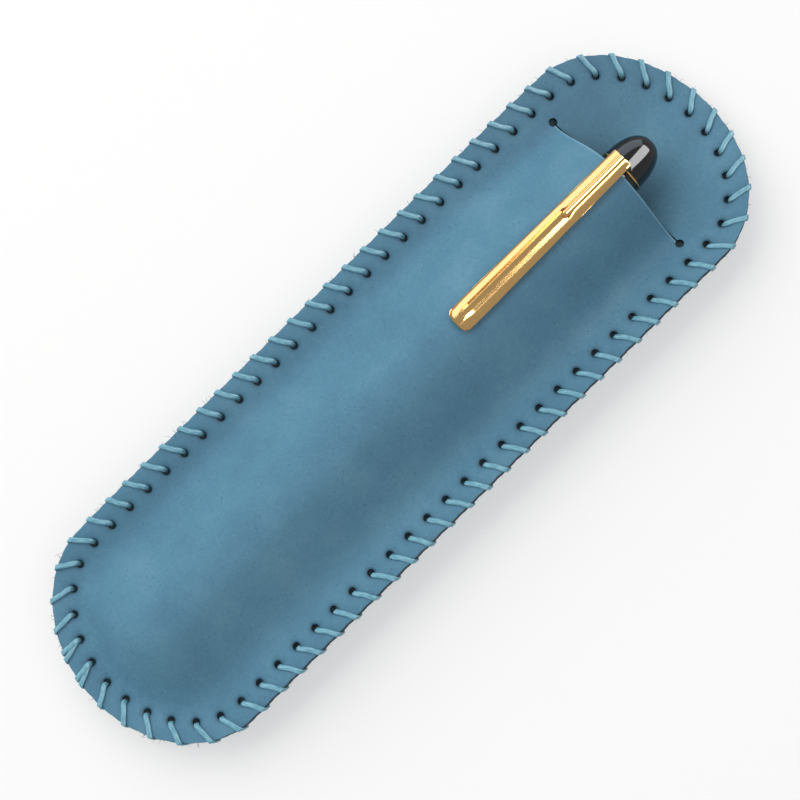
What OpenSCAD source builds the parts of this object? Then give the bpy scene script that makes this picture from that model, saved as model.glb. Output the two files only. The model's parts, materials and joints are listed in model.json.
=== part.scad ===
// Single pen sleeve: two leather panels whip-stitched together all the way round,
// with a cut slit in the front panel, holding one capped pen whose clip grips the slit's lip.
// The sleeve lies on its back. +Y runs to the slit end, +X to the right and +Z up, in millimetres.

/* [Sleeve] */
// Length of the leather
sleeve_l = 165; // [160:1:175]
// Width of the leather
sleeve_w = 50; // [48:1:58]
// Depth of the half ellipse at each end
end_depth = 20.3; // [18:0.1:24]
// Thickness of each leather panel
leather_t = 1.5; // [1.2:0.1:1.8]
// Space between the panels where they lie together
panel_gap = 0.1; // [0.05:0.05:0.2]
// Half width of the flat strip that the sleeve lies on
rest_half = 5; // [3:0.5:7]
// Height of the stitched border's underside along the sides
edge_lift = 6; // [4:0.5:7]
// Height of the stitched border's underside at the two ends
end_lift = 4; // [2:0.5:5]
// Height of the leather's underside at the tip of the slit end
tip_lift = 0.75; // [0.7:0.05:0.9]
// Length over which the leather rises from the slit to that height
tip_rise_l = 17.4; // [17:0.1:18]
// Half width of the bulge over the pen
bulge_half = 19.5; // [18.5:0.1:20]
// Distance from the bottom edge at which the bulge starts to fall
bulge_foot = 18.5; // [17.5:0.5:20]

/* [Slit] */
// Distance of the slit from the top edge
slit_from_top = 23.8; // [22:0.1:25]
// Distance between the centres of the two stop holes
slit_w = 34.3; // [33:0.1:36]
// Width of the cut
slit_gap = 0.3; // [0.2:0.05:0.5]
// Diameter of the stop holes
stop_hole_d = 1.7; // [1.2:0.1:2]
// Space between the panels and the widest part of the pen
pocket_gap = 0.4; // [0.35:0.05:0.8]
// Space between the pen and the leather that it lies on
rest_gap = 0.3; // [0.2:0.05:0.4]

/* [Stitching] */
// Number of stitches round the sleeve
stitch_count = 74; // [60:1:80]
// Distance of the holes from the edge
stitch_inset = 4; // [3.6:0.1:4.4]
// Diameter of the stitch holes
stitch_hole_d = 1.5; // [1.3:0.1:1.8]
// Width of the flat thread
thread_w = 1; // [0.8:0.05:1.1]
// Thickness of the flat thread
thread_t = 0.5; // [0.4:0.05:0.6]
// Space between the thread and the leather
thread_gap = 0.15; // [0.1:0.05:0.2]

/* [Pen cap] */
// Tilt of the pen against the ground, rising to the slit
pen_tilt = 1.95; // [1.9:0.05:2.1]
// Distance of the pen's tail from the sleeve's bottom edge
tail_inset = 13.5; // [13:0.5:15]
// Distance of the clip ring above the slit, along the pen
ring_above_slit = 1.4; // [1.3:0.1:1.8]
// Length of the cap, from its lip to the top of the crown
cap_l = 64.5; // [60:0.5:68]
// Diameter of the cap at its lip
cap_lip_d = 11.5; // [11.2:0.1:11.6]
// Diameter of the cap under the clip ring
cap_top_d = 9.4; // [9:0.1:9.8]
// Bore of the cap
cap_bore_d = 9.7; // [9.5:0.1:9.9]
// Height of the crown above the clip ring
crown_h = 7.8; // [7:0.1:8.4]
// Thickness of the clip ring
ring_t = 0.4; // [0.3:0.05:0.6]
// How far the clip ring and the bands stand proud of the resin
ring_proud = 0.15; // [0.1:0.05:0.2]
// Length of the gold band at the cap's lip
cap_band_l = 3.2; // [2:0.1:5]
// Distance of the gold band from the cap's lip
cap_band_from_lip = 1; // [0.6:0.1:2]
// Depth of the seats of the bands
seat_depth = 0.35; // [0.25:0.05:0.4]
// Clearance of seats and plugs that are glued
seat_gap = 0.03; // [0.02:0.01:0.05]
// Diameter of the studs and collars inside the cap
stud_d = 4.6; // [4:0.1:5]
// Thickness of the wall of the inner cap
inner_cap_wall = 0.6; // [0.5:0.1:0.8]
// Wall of the cap at its top
cap_top_wall = 0.8; // [0.7:0.1:1]
// Thickness of the cap's roof under the clip ring
roof_t = 3; // [2.5:0.1:4]

/* [Clip] */
// Length of the clip below its hinge
clip_l = 43; // [40:0.5:45]
// Width of the clip at its top
clip_top_w = 4.4; // [3.8:0.1:4.6]
// Width of the clip at its widest
clip_wide_w = 5.3; // [4.8:0.1:5.8]
// Radius of the rounded corners of the clip's tip
clip_corner_r = 1.6; // [1.2:0.1:2]
// Thickness of the clip's bar
clip_t = 1.1; // [0.9:0.1:1.4]
// Height of the bar above the leather
clip_clear = 0.7; // [0.6:0.1:1.2]
// Height of the clip's tip above the leather
clip_tip_gap = 0.2; // [0.1:0.05:0.3]
// Radius of the clip's round foot, which it turns on
clip_foot_r = 1; // [0.8:0.1:1.1]
// Clearance round the clip's foot
clip_foot_gap = 0.1; // [0.08:0.01:0.15]
// Height of the foot's centre above the pen's axis
clip_foot_h = 3.7; // [3.5:0.1:3.8]
// Length of the raised ridge below the clip's top
ridge_l = 14; // [12:0.5:16]
// Radius of the ridge
ridge_r = 0.75; // [0.5:0.05:0.9]
// Radius of the ball at the ridge's end
ridge_ball_r = 0.9; // [0.8:0.05:1]
// Distance of the clip's widest place from its tip
clip_wide_from_tip = 7; // [5:0.5:10]
// Thickness of the riser that carries the bar from the foot
riser_t = 1.6; // [1.4:0.1:1.8]
// Width of the channel along the bar
channel_w = 2.4; // [1.8:0.1:2.8]
// Depth of the channel
channel_depth = 0.4; // [0.3:0.05:0.5]

/* [Pen barrel] */
// Diameter of the barrel at its widest
barrel_d = 10.8; // [10.6:0.1:11]
// Diameter of the barrel at its tail
tail_d = 7; // [6.4:0.1:7.2]
// Length of the resin button at the tail
tail_button_l = 3; // [2.5:0.1:4]
// Bore of the barrel
barrel_bore_d = 8.2; // [8:0.1:8.4]
// Thickness of the gold ring at the tail
tail_ring_t = 0.8; // [0.6:0.1:1.2]
// Clearance between the barrel's end and the cap's lip
lip_gap = 0.1; // [0.05:0.05:0.2]
// Diameter of the section at its foot
section_d = 8.8; // [8.5:0.1:9]
// Diameter of the section where the nib leaves it
section_nose_d = 7.2; // [7:0.1:7.6]
// Length of the section in front of the barrel
section_l = 20; // [18:0.5:24]
// Length of the section's threaded foot inside the barrel
section_foot_l = 9; // [7:0.5:11]
// Thickness of the gold ring at the section's nose
section_ring_t = 1.2; // [1:0.1:1.5]
// Diameter of the feed
feed_d = 4.8; // [4.5:0.1:5]
// Length of the feed in front of the section
feed_out_l = 13; // [11:0.5:15]
// Length of the nib in front of the section
nib_out_l = 17.5; // [15:0.5:18]
// Thickness of the nib
nib_t = 0.35; // [0.25:0.05:0.45]

/* [Converter] */
// Outside diameter of the ink tube
ink_tube_d = 6.6; // [6.2:0.1:6.8]
// Bore of the ink tube
ink_bore_d = 5.2; // [4.8:0.1:5.4]
// Length of the ink tube
ink_tube_l = 24; // [22:0.5:26]
// Length of the metal collar round the end of the ink tube
ink_collar_l = 7; // [5:0.5:9]
// Wall of the metal collar
ink_collar_wall = 0.45; // [0.35:0.05:0.5]
// Length of the turning knob
knob_l = 14; // [13:0.5:15]
// Length of the piston
piston_l = 4; // [3.5:0.5:5]
// Travel of the piston
piston_travel = 9.5; // [8:0.5:10]
// Diameter of the piston's threaded rod
rod_d = 2; // [1.6:0.1:2.4]
// Clearance of the parts that turn and slide
run_gap = 0.05; // [0.03:0.01:0.1]

/* [Hidden] */

$fn = 64;
leather_color = "steelblue";
thread_color = "lightsteelblue";
resin_color = [0.04, 0.04, 0.05];
gold_color = "goldenrod";
steel_color = "silver";
clear_color = [0.8, 0.85, 0.9, 0.5];
half_w = sleeve_w / 2;
half_l = sleeve_l / 2;
straight_half = half_l - end_depth;
slit_y = half_l - slit_from_top;
slit_half = slit_w / 2;
cap_lip_r = cap_lip_d / 2;
cap_top_r = cap_top_d / 2;
barrel_r = barrel_d / 2;
tail_r = tail_d / 2;

// Places along the pen's axis, counted from its tail
tail_y = -half_l + tail_inset;
slit_at = (slit_y - tail_y) / cos(pen_tilt);
ring_at = slit_at + ring_above_slit;
pen_l = ring_at + ring_t + crown_h;
lip_at = pen_l - cap_l;
barrel_end = lip_at - lip_gap;
section_end = barrel_end + section_l;

// Shape of the border and of the bulge
border_blend_from = 45;
flap_blend = 40;
flare_power = 1.2;
bell_power = 1.2;
bulge_narrowing = 35;
bulge_foot_y = -half_l + bulge_foot;
bulge_foot_ratio = bulge_half / (bulge_foot - stitch_inset);

function smooth(t) = t <= 0 ? 0 : t >= 1 ? 1 : t * t * (3 - 2 * t);

barrel_power = 2.4;
cap_power = 1.3;

// Radius of the barrel at a distance from its tail
function barrel_radius(z) = tail_r + (barrel_r - tail_r) * (1 - pow(1 - z / lip_at, barrel_power));

// Radius of the cap at a distance from the pen's tail
function cap_radius(z) =
    let (t = (z - lip_at) / (ring_at - lip_at))
    cap_lip_r - (cap_lip_r - cap_top_r) * pow(t, cap_power);

// Height of the pen's axis at its tail: the barrel clears the back panel by rest_gap,
// and the cap's lip clears the flap by the same as it slides out over it
flap_top = 2 * leather_t + panel_gap;
barrel_steps = 24;
barrel_need = max([
    for (i = [0:barrel_steps])
        let (z = lip_at * i / barrel_steps) barrel_radius(z) - z * tan(pen_tilt)
]);
lip_need = cap_lip_r + ring_proud - lip_at * tan(pen_tilt);
slide_need = cap_lip_r + ring_proud - slit_at * tan(pen_tilt);
tail_height = max(
    leather_t + rest_gap + max(barrel_need, lip_need),
    flap_top + rest_gap + slide_need
);

// Height of the pen's axis above the ground
function axis_height(y) = tail_height + (y - tail_y) * tan(pen_tilt);

// Distance from the spine, 1 at the outline: elliptic round the foot of the pocket,
// and straight across the flap, which bends like a trough
function reach(x, y) = norm([x / half_w, max(0, -y - straight_half) / end_depth]);

// Half width of the outline
function outline_half(y) =
    half_w * sqrt(max(0, 1 - pow(max(0, abs(y) - straight_half) / end_depth, 2)));

// Height of the border's underside
function border_height(y) =
    edge_lift - (edge_lift - end_lift)
        * smooth((abs(y) - border_blend_from) / (half_l - border_blend_from));

// Underside of the back panel: flat under the pen, rising to the border.
// It levels out at the sides, flares upwards round the slit and lifts a little at the tip.
function back_height(x, y) =
    let (
        flat = rest_half / half_w,
        v = max(0, (reach(x, y) - flat) / (1 - flat)),
        flare = smooth((y - slit_y + flap_blend) / flap_blend)
    )
    border_height(y) * ((1 - flare) * smooth(v) + flare * pow(v, flare_power))
        + tip_lift * smooth((y - slit_y) / tip_rise_l);

// Height that the front panel stands above the back panel, over the pen
function bulge_height(x, y) =
    let (
        narrow = smooth((y - slit_y + bulge_narrowing) / bulge_narrowing),
        half = bulge_half - (bulge_half - slit_half) * narrow,
        away = norm([x, bulge_foot_ratio * max(0, bulge_foot_y - y)]) / half,
        crest = axis_height(y) + cap_lip_r + ring_proud + pocket_gap - leather_t - panel_gap
    )
    y > slit_y || away >= 1 ? 0 : crest * (1 + cos(180 * pow(away, bell_power))) / 2;

// Underside of the front panel
function front_height(x, y) =
    back_height(x, y) + leather_t + panel_gap + bulge_height(x, y);

// Grid of the panels: rows along the length, and columns across it that keep to the outline
end_steps = 9;
side_steps = 15;
tip_angle = 84;
side_from = -straight_half;
side_to = slit_y - slit_gap / 2;
rows = concat(
    [for (i = [0:end_steps - 1]) -straight_half - end_depth * sin(tip_angle * (1 - i / end_steps))],
    [for (i = [0:side_steps]) side_from + (side_to - side_from) * i / side_steps],
    [slit_y + slit_gap / 2],
    [for (i = [0:end_steps]) straight_half + end_depth * sin(tip_angle * i / end_steps)]
);
slit_row = end_steps + side_steps;
slit_share = slit_half / half_w;
inner_columns = 7;
outer_columns = 4;
half_columns = concat(
    [for (i = [0:inner_columns - 1]) slit_share * i / inner_columns],
    [for (i = [0:outer_columns]) slit_share + (1 - slit_share) * i / outer_columns]
);
column_last = len(half_columns) - 1;
columns = concat([for (i = [column_last:-1:1]) -half_columns[i]], half_columns);
slit_first = outer_columns;
slit_last = outer_columns + 2 * inner_columns - 1;

// One panel: a sheet of leather on the grid, with or without the slit
module panel(height, slit) {
    n_rows = len(rows);
    n_cols = len(columns);
    function spot(i, j) = [columns[j] * outline_half(rows[i]), rows[i]];
    function at(i, j, top) = (top ? n_rows * n_cols : 0) + i * n_cols + j;
    function cell(i, j) =
        i >= 0 && j >= 0 && i < n_rows - 1 && j < n_cols - 1
        && !(slit && i == slit_row && j >= slit_first && j <= slit_last);
    function wall(open, p, q) =
        open ? [] : [[at(p.x, p.y, false), at(p.x, p.y, true), at(q.x, q.y, true), at(q.x, q.y, false)]];
    low = [
        for (i = [0:n_rows - 1]) for (j = [0:n_cols - 1])
            let (p = spot(i, j)) [p.x, p.y, height(p.x, p.y)]
    ];
    high = [for (p = low) p + [0, 0, leather_t]];
    skins = [
        for (i = [0:n_rows - 2]) for (j = [0:n_cols - 2]) if (cell(i, j))
            let (
                corners = [[i, j], [i, j + 1], [i + 1, j + 1], [i + 1, j]],
                t = [for (c = corners) at(c.x, c.y, true)],
                b = [for (c = corners) at(c.x, c.y, false)]
            )
            each j >= n_cols / 2 - 1
                ? [[t[0], t[3], t[2]], [t[0], t[2], t[1]], [b[0], b[1], b[2]], [b[0], b[2], b[3]]]
                : [[t[0], t[3], t[1]], [t[3], t[2], t[1]], [b[0], b[1], b[3]], [b[3], b[1], b[2]]]
    ];
    walls = [
        for (i = [0:n_rows - 2]) for (j = [0:n_cols - 2]) if (cell(i, j))
            each concat(
                wall(cell(i - 1, j), [i, j], [i, j + 1]),
                wall(cell(i, j + 1), [i, j + 1], [i + 1, j + 1]),
                wall(cell(i + 1, j), [i + 1, j + 1], [i + 1, j]),
                wall(cell(i, j - 1), [i + 1, j], [i, j])
            )
    ];
    polyhedron(concat(low, high), concat(skins, walls), convexity = 6);
}

// Outline of the leather, anticlockwise from the top: places with their outward normals
arc_steps = 30;
run_steps = 60;
function end_spot(angle, end) =
    let (out = [cos(angle) / half_w, sin(angle) / end_depth])
    [[half_w * cos(angle), end * straight_half + end_depth * sin(angle)], out / norm(out)];
function side_spot(side, y) = [[side * half_w, y], [side, 0]];
outline = concat(
    [for (i = [0:arc_steps - 1]) end_spot(90 + 90 * i / arc_steps, 1)],
    [for (i = [0:run_steps - 1]) side_spot(-1, straight_half * (1 - 2 * i / run_steps))],
    [for (i = [0:2 * arc_steps - 1]) end_spot(180 + 90 * i / arc_steps, -1)],
    [for (i = [0:run_steps - 1]) side_spot(1, straight_half * (2 * i / run_steps - 1))],
    [for (i = [0:arc_steps - 1]) end_spot(90 * i / arc_steps, 1)]
);
path_steps = len(outline);
hole_line = [for (p = outline) p[0] - stitch_inset * p[1]];
lengths = [
    for (i = 0, sum = 0; i <= path_steps; sum = sum + norm(
        hole_line[(i + 1) % path_steps] - hole_line[i % path_steps]
    ), i = i + 1) sum
];
path_l = lengths[path_steps];
pitch = path_l / stitch_count;
first_stitch = 0.02;

// Place on the plan at a distance along the holes, and at a distance outside their line
function step_at(s, lo = 0, hi = path_steps) =
    hi - lo <= 1 ? lo
    : let (mid = floor((lo + hi) / 2)) lengths[mid] <= s ? step_at(s, mid, hi) : step_at(s, lo, mid);
function along(s, outside) =
    let (
        w = s - path_l * floor(s / path_l),
        i = step_at(w),
        t = (w - lengths[i]) / (lengths[i + 1] - lengths[i]),
        p = outline[i],
        q = outline[(i + 1) % path_steps],
        place = (1 - t) * p[0] + t * q[0],
        out = (1 - t) * p[1] + t * q[1]
    )
    place + (outside - stitch_inset) * out / norm(out);
function hole_at(i) = along((i + first_stitch) * pitch, 0);

through_h = 2 * edge_lift + 4 * leather_t;
module stitch_holes() {
    for (i = [0:stitch_count - 1])
        translate([hole_at(i).x, hole_at(i).y, 0])
            cylinder(h = through_h, d = stitch_hole_d, $fn = 24);
}

// Route of the thread: up through a hole, out over the front, round the edge,
// and back along the underside to the next hole
thread_off = thread_t / 2 + thread_gap;
lap = pitch / 2;
hole_dip = 0.3;
rim_out = 0.45;
rim_step = 0.25;
corner = 0.15;
edge_turn = 0.15;
edge_round = 0.05;
end_tuck = 1.6;
thread_sides = 6;
// Each point: share along the stitch, distance outside the hole line, level, height from it
stitch_route = [
    [0, 0, 0, hole_dip],
    [0, 0, 2, -hole_dip],
    [rim_step, rim_out, 2, thread_off],
    [(1 - edge_turn) * lap, stitch_inset + corner, 2, thread_off],
    [(1 - edge_round) * lap, stitch_inset + thread_off, 2, corner],
    [(1 + edge_round) * lap, stitch_inset + thread_off, 0, -corner],
    [(1 + edge_turn) * lap, stitch_inset + corner, 0, -thread_off],
    [pitch - rim_step, rim_out, 0, -thread_off]
];
// The last stitch stops short of the first hole
function route_point(i, k) =
    let (
        r = stitch_route[k],
        last = i == stitch_count - 1 && k == len(stitch_route) - 1,
        p = along((i + first_stitch) * pitch + r[0], last ? end_tuck : r[1]),
        base = back_height(p.x, p.y),
        level = base + r[2] * (leather_t + panel_gap / 2)
    )
    [p.x, p.y, level + r[3]];
thread_points = [
    for (i = [0:stitch_count - 1]) for (k = [0:len(stitch_route) - 1]) route_point(i, k)
];

// Least space between the thread and itself, on its points
route_len = len(stitch_route);
thread_self_gap = min([
    for (i = [0:len(thread_points) - 1]) for (j = [i + 3:i + 2 * route_len])
        norm(thread_points[i] - thread_points[j % len(thread_points)])
]) - thread_w;
echo(thread_self_gap = thread_self_gap);

module edge_thread() {
    n = len(thread_points);
    rings = [
        for (i = [0:n - 1])
            let (
                p = thread_points[i],
                way = thread_points[min(i + 1, n - 1)] - thread_points[max(i - 1, 0)],
                t = way / norm(way),
                around = along_way(p),
                side_raw = around - (around * t) * t,
                side = side_raw / norm(side_raw),
                up = cross(t, side)
            )
            for (k = [0:thread_sides - 1])
                p + thread_w / 2 * cos(360 * k / thread_sides) * side
                    + thread_t / 2 * sin(360 * k / thread_sides) * up
    ];
    skin = [
        for (i = [0:n - 2]) for (k = [0:thread_sides - 1])
            let (
                a = i * thread_sides + k,
                b = i * thread_sides + (k + 1) % thread_sides,
                c = b + thread_sides,
                d = a + thread_sides
            )
            each [[a, d, b], [d, c, b]]
    ];
    ends = [
        [for (k = [0:thread_sides - 1]) k],
        [for (k = [thread_sides - 1:-1:0]) (n - 1) * thread_sides + k]
    ];
    color(thread_color) polyhedron(rings, concat(skin, ends), convexity = 20);
}

// Direction along the edge at a point of the thread
function along_way(p) =
    let (
        end = max(0, abs(p.y) - straight_half) * sign(p.y),
        out = [p.x / pow(half_w, 2), end / pow(end_depth, 2)],
        w = [-out.y, out.x] / norm(out)
    )
    [w.x, w.y, 0];

// Leather panels
module back_panel() {
    color(leather_color)
        difference() {
            panel(function (x, y) back_height(x, y), false);
            stitch_holes();
        }
}

module front_panel() {
    color(leather_color)
        difference() {
            panel(function (x, y) front_height(x, y), true);
            stitch_holes();
            for (side = [-1, 1])
                translate([side * slit_half, slit_y, 0])
                    cylinder(h = through_h, d = stop_hole_d, $fn = 24);
        }
}

// The pen's own frame: z runs along its axis from the tail, y towards the sleeve's front
module on_axis() {
    translate([0, tail_y, tail_height])
        rotate([90 - pen_tilt, 0, 180])
            children();
}

// Turned body between two places on the axis, with a radius from a function and a bore
turn_steps = 14;
module turned(from, to, radius, bore) {
    rotate_extrude()
        polygon(concat(
            [for (i = [0:turn_steps]) let (z = from + (to - from) * i / turn_steps) [radius(z), z]],
            [[bore, to], [bore, from]]
        ));
}

// Plain tube or disc between two places on the axis
module band(from, to, outer, inner) {
    translate([0, 0, from])
        difference() {
            cylinder(h = to - from, r = outer);
            if (inner > 0)
                translate([0, 0, -1])
                    cylinder(h = to - from + 2, r = inner);
        }
}

// Hole along the axis
module hole(from, to, r) {
    translate([0, 0, from])
        cylinder(h = to - from, r = r);
}

// Seat of a band that stands ring_proud of a turned body
module seat(from, to, inner) {
    band(from, to, 2 * inner, inner);
}

// Cap
stud_r = stud_d / 2;
crown_at = ring_at + ring_t;
crown_r = cap_top_r - ring_proud / 2;
ring_outer = cap_top_r + ring_proud;
roof_at = ring_at - roof_t;
stud_root = 1;
inner_cap_play = 3;
inner_cap_at = section_end + inner_cap_play;
inner_cap_r = cap_top_r - cap_top_wall;
inner_cap_roof = 1;
band_at = lip_at + cap_band_from_lip;
band_seat_r = cap_radius(band_at + cap_band_l) - seat_depth;
band_r = cap_radius(band_at) + ring_proud;
// Where the clip's foot turns
foot_at = ring_at + ring_t / 2;

// Space for the clip's foot in the ring, the cap and the crown
module foot_notch() {
    r = clip_foot_r + clip_foot_gap;
    translate([0, clip_foot_h, foot_at]) {
        rotate([0, 90, 0])
            cylinder(h = clip_top_w + 2 * clip_foot_gap, r = r, center = true, $fn = 32);
        translate([-clip_top_w / 2 - clip_foot_gap, 0, -r])
            cube([clip_top_w + 2 * clip_foot_gap, cap_lip_r, 2 * r]);
    }
}

module cap_tube() {
    color(resin_color)
        on_axis()
            difference() {
                turned(lip_at, ring_at, function (z) cap_radius(z), stud_r);
                hole(lip_at - 1, inner_cap_at, cap_bore_d / 2);
                hole(lip_at, roof_at, inner_cap_r);
                seat(band_at, band_at + cap_band_l, band_seat_r);
                foot_notch();
            }
}

module cap_band() {
    color(gold_color)
        on_axis()
            band(band_at + seat_gap, band_at + cap_band_l - seat_gap, band_r, band_seat_r + seat_gap);
}

module inner_cap() {
    color(resin_color)
        on_axis()
            difference() {
                band(inner_cap_at + seat_gap, roof_at - seat_gap, inner_cap_r - seat_gap, 0);
                hole(inner_cap_at - 1, roof_at - inner_cap_roof, inner_cap_r - seat_gap - inner_cap_wall);
            }
}

module clip_ring() {
    color(gold_color)
        on_axis()
            difference() {
                band(ring_at, crown_at, ring_outer, stud_r);
                foot_notch();
            }
}

// Crown: a bullet-shaped dome with a stud that holds the ring to the cap
crown_power = 2.3;
module cap_crown() {
    function dome(z) =
        crown_r * pow(max(0, 1 - pow((z - crown_at) / crown_h, crown_power)), 1 / crown_power);
    color(resin_color)
        on_axis()
            difference() {
                union() {
                    turned(crown_at, pen_l, function (z) dome(z), 0);
                    hole(roof_at, crown_at + stud_root, stud_r - seat_gap);
                }
                foot_notch();
            }
}

// Clip
leather_over = cap_lip_r + ring_proud + pocket_gap + leather_t;
bar_low = leather_over + clip_clear;
bar_high = bar_low + clip_t;
clip_tip_at = foot_at - clip_l;
clip_top_at = foot_at + riser_t / 2;
corner_at = clip_tip_at + clip_corner_r;
corner_x = clip_wide_w / 2 - clip_corner_r;
wide_at = clip_tip_at + clip_wide_from_tip;
channel_end = 4;
tip_pad_l = 3;

// Plan of the clip, across x and along y
module clip_plan() {
    union() {
        polygon([
            [-clip_top_w / 2, clip_top_at], [-clip_wide_w / 2, wide_at], [-clip_wide_w / 2, corner_at],
            [-corner_x, clip_tip_at], [corner_x, clip_tip_at],
            [clip_wide_w / 2, corner_at], [clip_wide_w / 2, wide_at], [clip_top_w / 2, clip_top_at]
        ]);
        for (x = [-corner_x, corner_x])
            translate([x, corner_at])
                circle(r = clip_corner_r, $fn = 32);
    }
}

// Side of the clip, along x and up y: a bar with a pad under its tip
module clip_side() {
    pad_low = leather_over + clip_tip_gap;
    polygon([
        [clip_tip_at - 1, pad_low], [clip_tip_at + tip_pad_l, pad_low],
        [clip_tip_at + tip_pad_l + clip_clear, bar_low], [clip_top_at, bar_low],
        [clip_top_at, bar_high], [clip_tip_at - 1, bar_high]
    ]);
}

module clip() {
    color(gold_color)
        on_axis()
            union() {
                difference() {
                    intersection() {
                        rotate([0, -90, 0])
                            linear_extrude(clip_wide_w + 1, center = true)
                                clip_side();
                        rotate([90, 0, 0])
                            mirror([0, 0, 1])
                                linear_extrude(bar_high + 1)
                                    clip_plan();
                    }
                    translate([-channel_w / 2, bar_high - channel_depth, clip_tip_at + channel_end])
                        cube([channel_w, 1, clip_l - channel_end - ridge_l]);
                }
                translate([0, bar_high, foot_at - ridge_l])
                    cylinder(h = ridge_l + riser_t / 2, r = ridge_r, $fn = 24);
                translate([0, bar_high, foot_at - ridge_l])
                    sphere(r = ridge_ball_r, $fn = 24);
                translate([-clip_top_w / 2, clip_foot_h, foot_at - riser_t / 2])
                    cube([clip_top_w, bar_low + clip_t / 2 - clip_foot_h, riser_t]);
                translate([0, clip_foot_h, foot_at])
                    rotate([0, 90, 0])
                        cylinder(h = clip_top_w, r = clip_foot_r, center = true, $fn = 32);
            }
}

// Barrel
tail_ring_at = tail_button_l;
barrel_from = tail_ring_at + tail_ring_t;
tail_stud_l = 3;
barrel_bore_r = barrel_bore_d / 2;
section_foot_at = barrel_end - section_foot_l;
nipple_l = 4;
ink_tube_at = section_foot_at - ink_tube_l;
knob_to = ink_tube_at - seat_gap;
knob_from = knob_to - knob_l;
knob_room = 1.2;
bore_from = knob_from - knob_room;

module barrel() {
    color(resin_color)
        on_axis()
            difference() {
                turned(barrel_from, barrel_end, function (z) barrel_radius(z), 0);
                hole(bore_from, barrel_end + 1, barrel_bore_r);
                hole(barrel_from - 1, barrel_from + tail_stud_l, stud_r / 2);
            }
}

module tail_ring() {
    color(gold_color)
        on_axis()
            band(tail_ring_at, barrel_from, barrel_radius(barrel_from) + ring_proud, stud_r / 2);
}

module tail_button() {
    function dome(z) = barrel_radius(tail_ring_at) * sqrt(max(0, 1 - pow(1 - z / tail_button_l, 2)));
    color(resin_color)
        on_axis()
            union() {
                turned(0, tail_button_l, function (z) dome(z), 0);
                hole(tail_button_l / 2, barrel_from + tail_stud_l - seat_gap, stud_r / 2 - seat_gap);
            }
}

// Section, feed and nib
feed_r = feed_d / 2;
section_ring_at = section_end - section_ring_t;
nib_r = feed_r + seat_gap + nib_t;
nib_foot_l = 7;
nib_from = section_end - nib_foot_l;
ink_way_l = 6;
feed_from = section_foot_at + ink_way_l;
ink_way_r = 0.6;
section_power = 0.8;
function section_radius(z) =
    let (t = (z - barrel_end) / section_l)
    section_d / 2 - (section_d - section_nose_d) / 2 * pow(t, section_power);
section_seat_r = section_radius(section_ring_at) - seat_depth;

module grip_section() {
    color(resin_color)
        on_axis()
            difference() {
                union() {
                    turned(barrel_end, section_end, function (z) section_radius(z), 0);
                    hole(section_foot_at, barrel_end + 1, barrel_bore_r - seat_gap);
                    hole(section_foot_at - nipple_l, section_foot_at + 1, ink_bore_d / 2 - seat_gap);
                }
                hole(section_foot_at - nipple_l - 1, feed_from + 1, ink_way_r);
                hole(feed_from, section_end + 1, feed_r + seat_gap);
                hole(nib_from, section_end + 1, nib_r + seat_gap);
                seat(section_ring_at, section_end + 1, section_seat_r);
            }
}

module section_ring() {
    color(gold_color)
        on_axis()
            band(section_ring_at + seat_gap, section_end, section_nose_d / 2 + ring_proud,
                section_seat_r + seat_gap);
}

feed_fins = 7;
fin_pitch = 1;
fin_w = 0.4;
fin_root = feed_d / 4;
module feed() {
    color(resin_color)
        on_axis()
            difference() {
                hole(feed_from + seat_gap, section_end + feed_out_l, feed_r);
                translate([-feed_d, -feed_d, section_end + feed_out_l])
                    rotate([-atan(feed_d / feed_out_l), 0, 0])
                        translate([0, 0, -feed_out_l])
                            mirror([0, 1, 0])
                                cube([2 * feed_d, feed_d, 2 * feed_out_l]);
                for (i = [0:feed_fins - 1])
                    translate([-feed_d, -feed_d, section_end + 1 + i * fin_pitch])
                        cube([2 * feed_d, feed_d - fin_root, fin_w]);
            }
}

nib_slit_w = 0.15;
nib_tip_w = 0.8;
nib_shoulder = 6;
module nib() {
    nib_end = section_end + nib_out_l;
    color(gold_color)
        on_axis()
            difference() {
                intersection() {
                    band(nib_from + seat_gap, nib_end, nib_r, feed_r + seat_gap);
                    rotate([90, 0, 0])
                        mirror([0, 0, 1])
                            linear_extrude(nib_r + 1)
                                polygon([
                                    [-nib_r, nib_from], [nib_r, nib_from],
                                    [nib_r, section_end + nib_shoulder],
                                    [nib_tip_w / 2, nib_end], [-nib_tip_w / 2, nib_end],
                                    [-nib_r, section_end + nib_shoulder]
                                ]);
                    translate([-nib_r, feed_r / 4, nib_from])
                        cube([2 * nib_r, nib_r, nib_out_l + nib_foot_l]);
                }
                translate([-nib_slit_w / 2, 0, section_end + nib_shoulder])
                    cube([nib_slit_w, nib_r + 1, nib_out_l]);
            }
}

// Converter that holds the ink: a tube, a collar, and a knob that screws the piston up and down
ink_tube_r = ink_tube_d / 2;
collar_inner = ink_tube_r + seat_gap;
piston_from = ink_tube_at + ink_collar_l / 2;
piston_r = ink_bore_d / 2 - run_gap;
rod_r = rod_d / 2;
rod_engaged = 2;
rod_l = piston_from - knob_to + piston_travel + rod_engaged;

module ink_tube() {
    color(clear_color)
        on_axis()
            band(ink_tube_at, section_foot_at - seat_gap, ink_tube_r, ink_bore_d / 2);
}

module ink_collar() {
    color(steel_color)
        on_axis()
            band(ink_tube_at - ink_collar_l / 2, ink_tube_at + ink_collar_l / 2,
                collar_inner + ink_collar_wall, collar_inner);
}

module ink_knob() {
    color(resin_color)
        on_axis()
            difference() {
                hole(knob_from, knob_to, collar_inner - run_gap);
                hole(knob_to - piston_travel - rod_engaged - run_gap, knob_to + 1, rod_r + run_gap);
            }
}

module piston() {
    color(resin_color)
        on_axis()
            difference() {
                hole(piston_from, piston_from + piston_l, piston_r);
                hole(piston_from - 1, piston_from + piston_l / 2, rod_r);
            }
}

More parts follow.
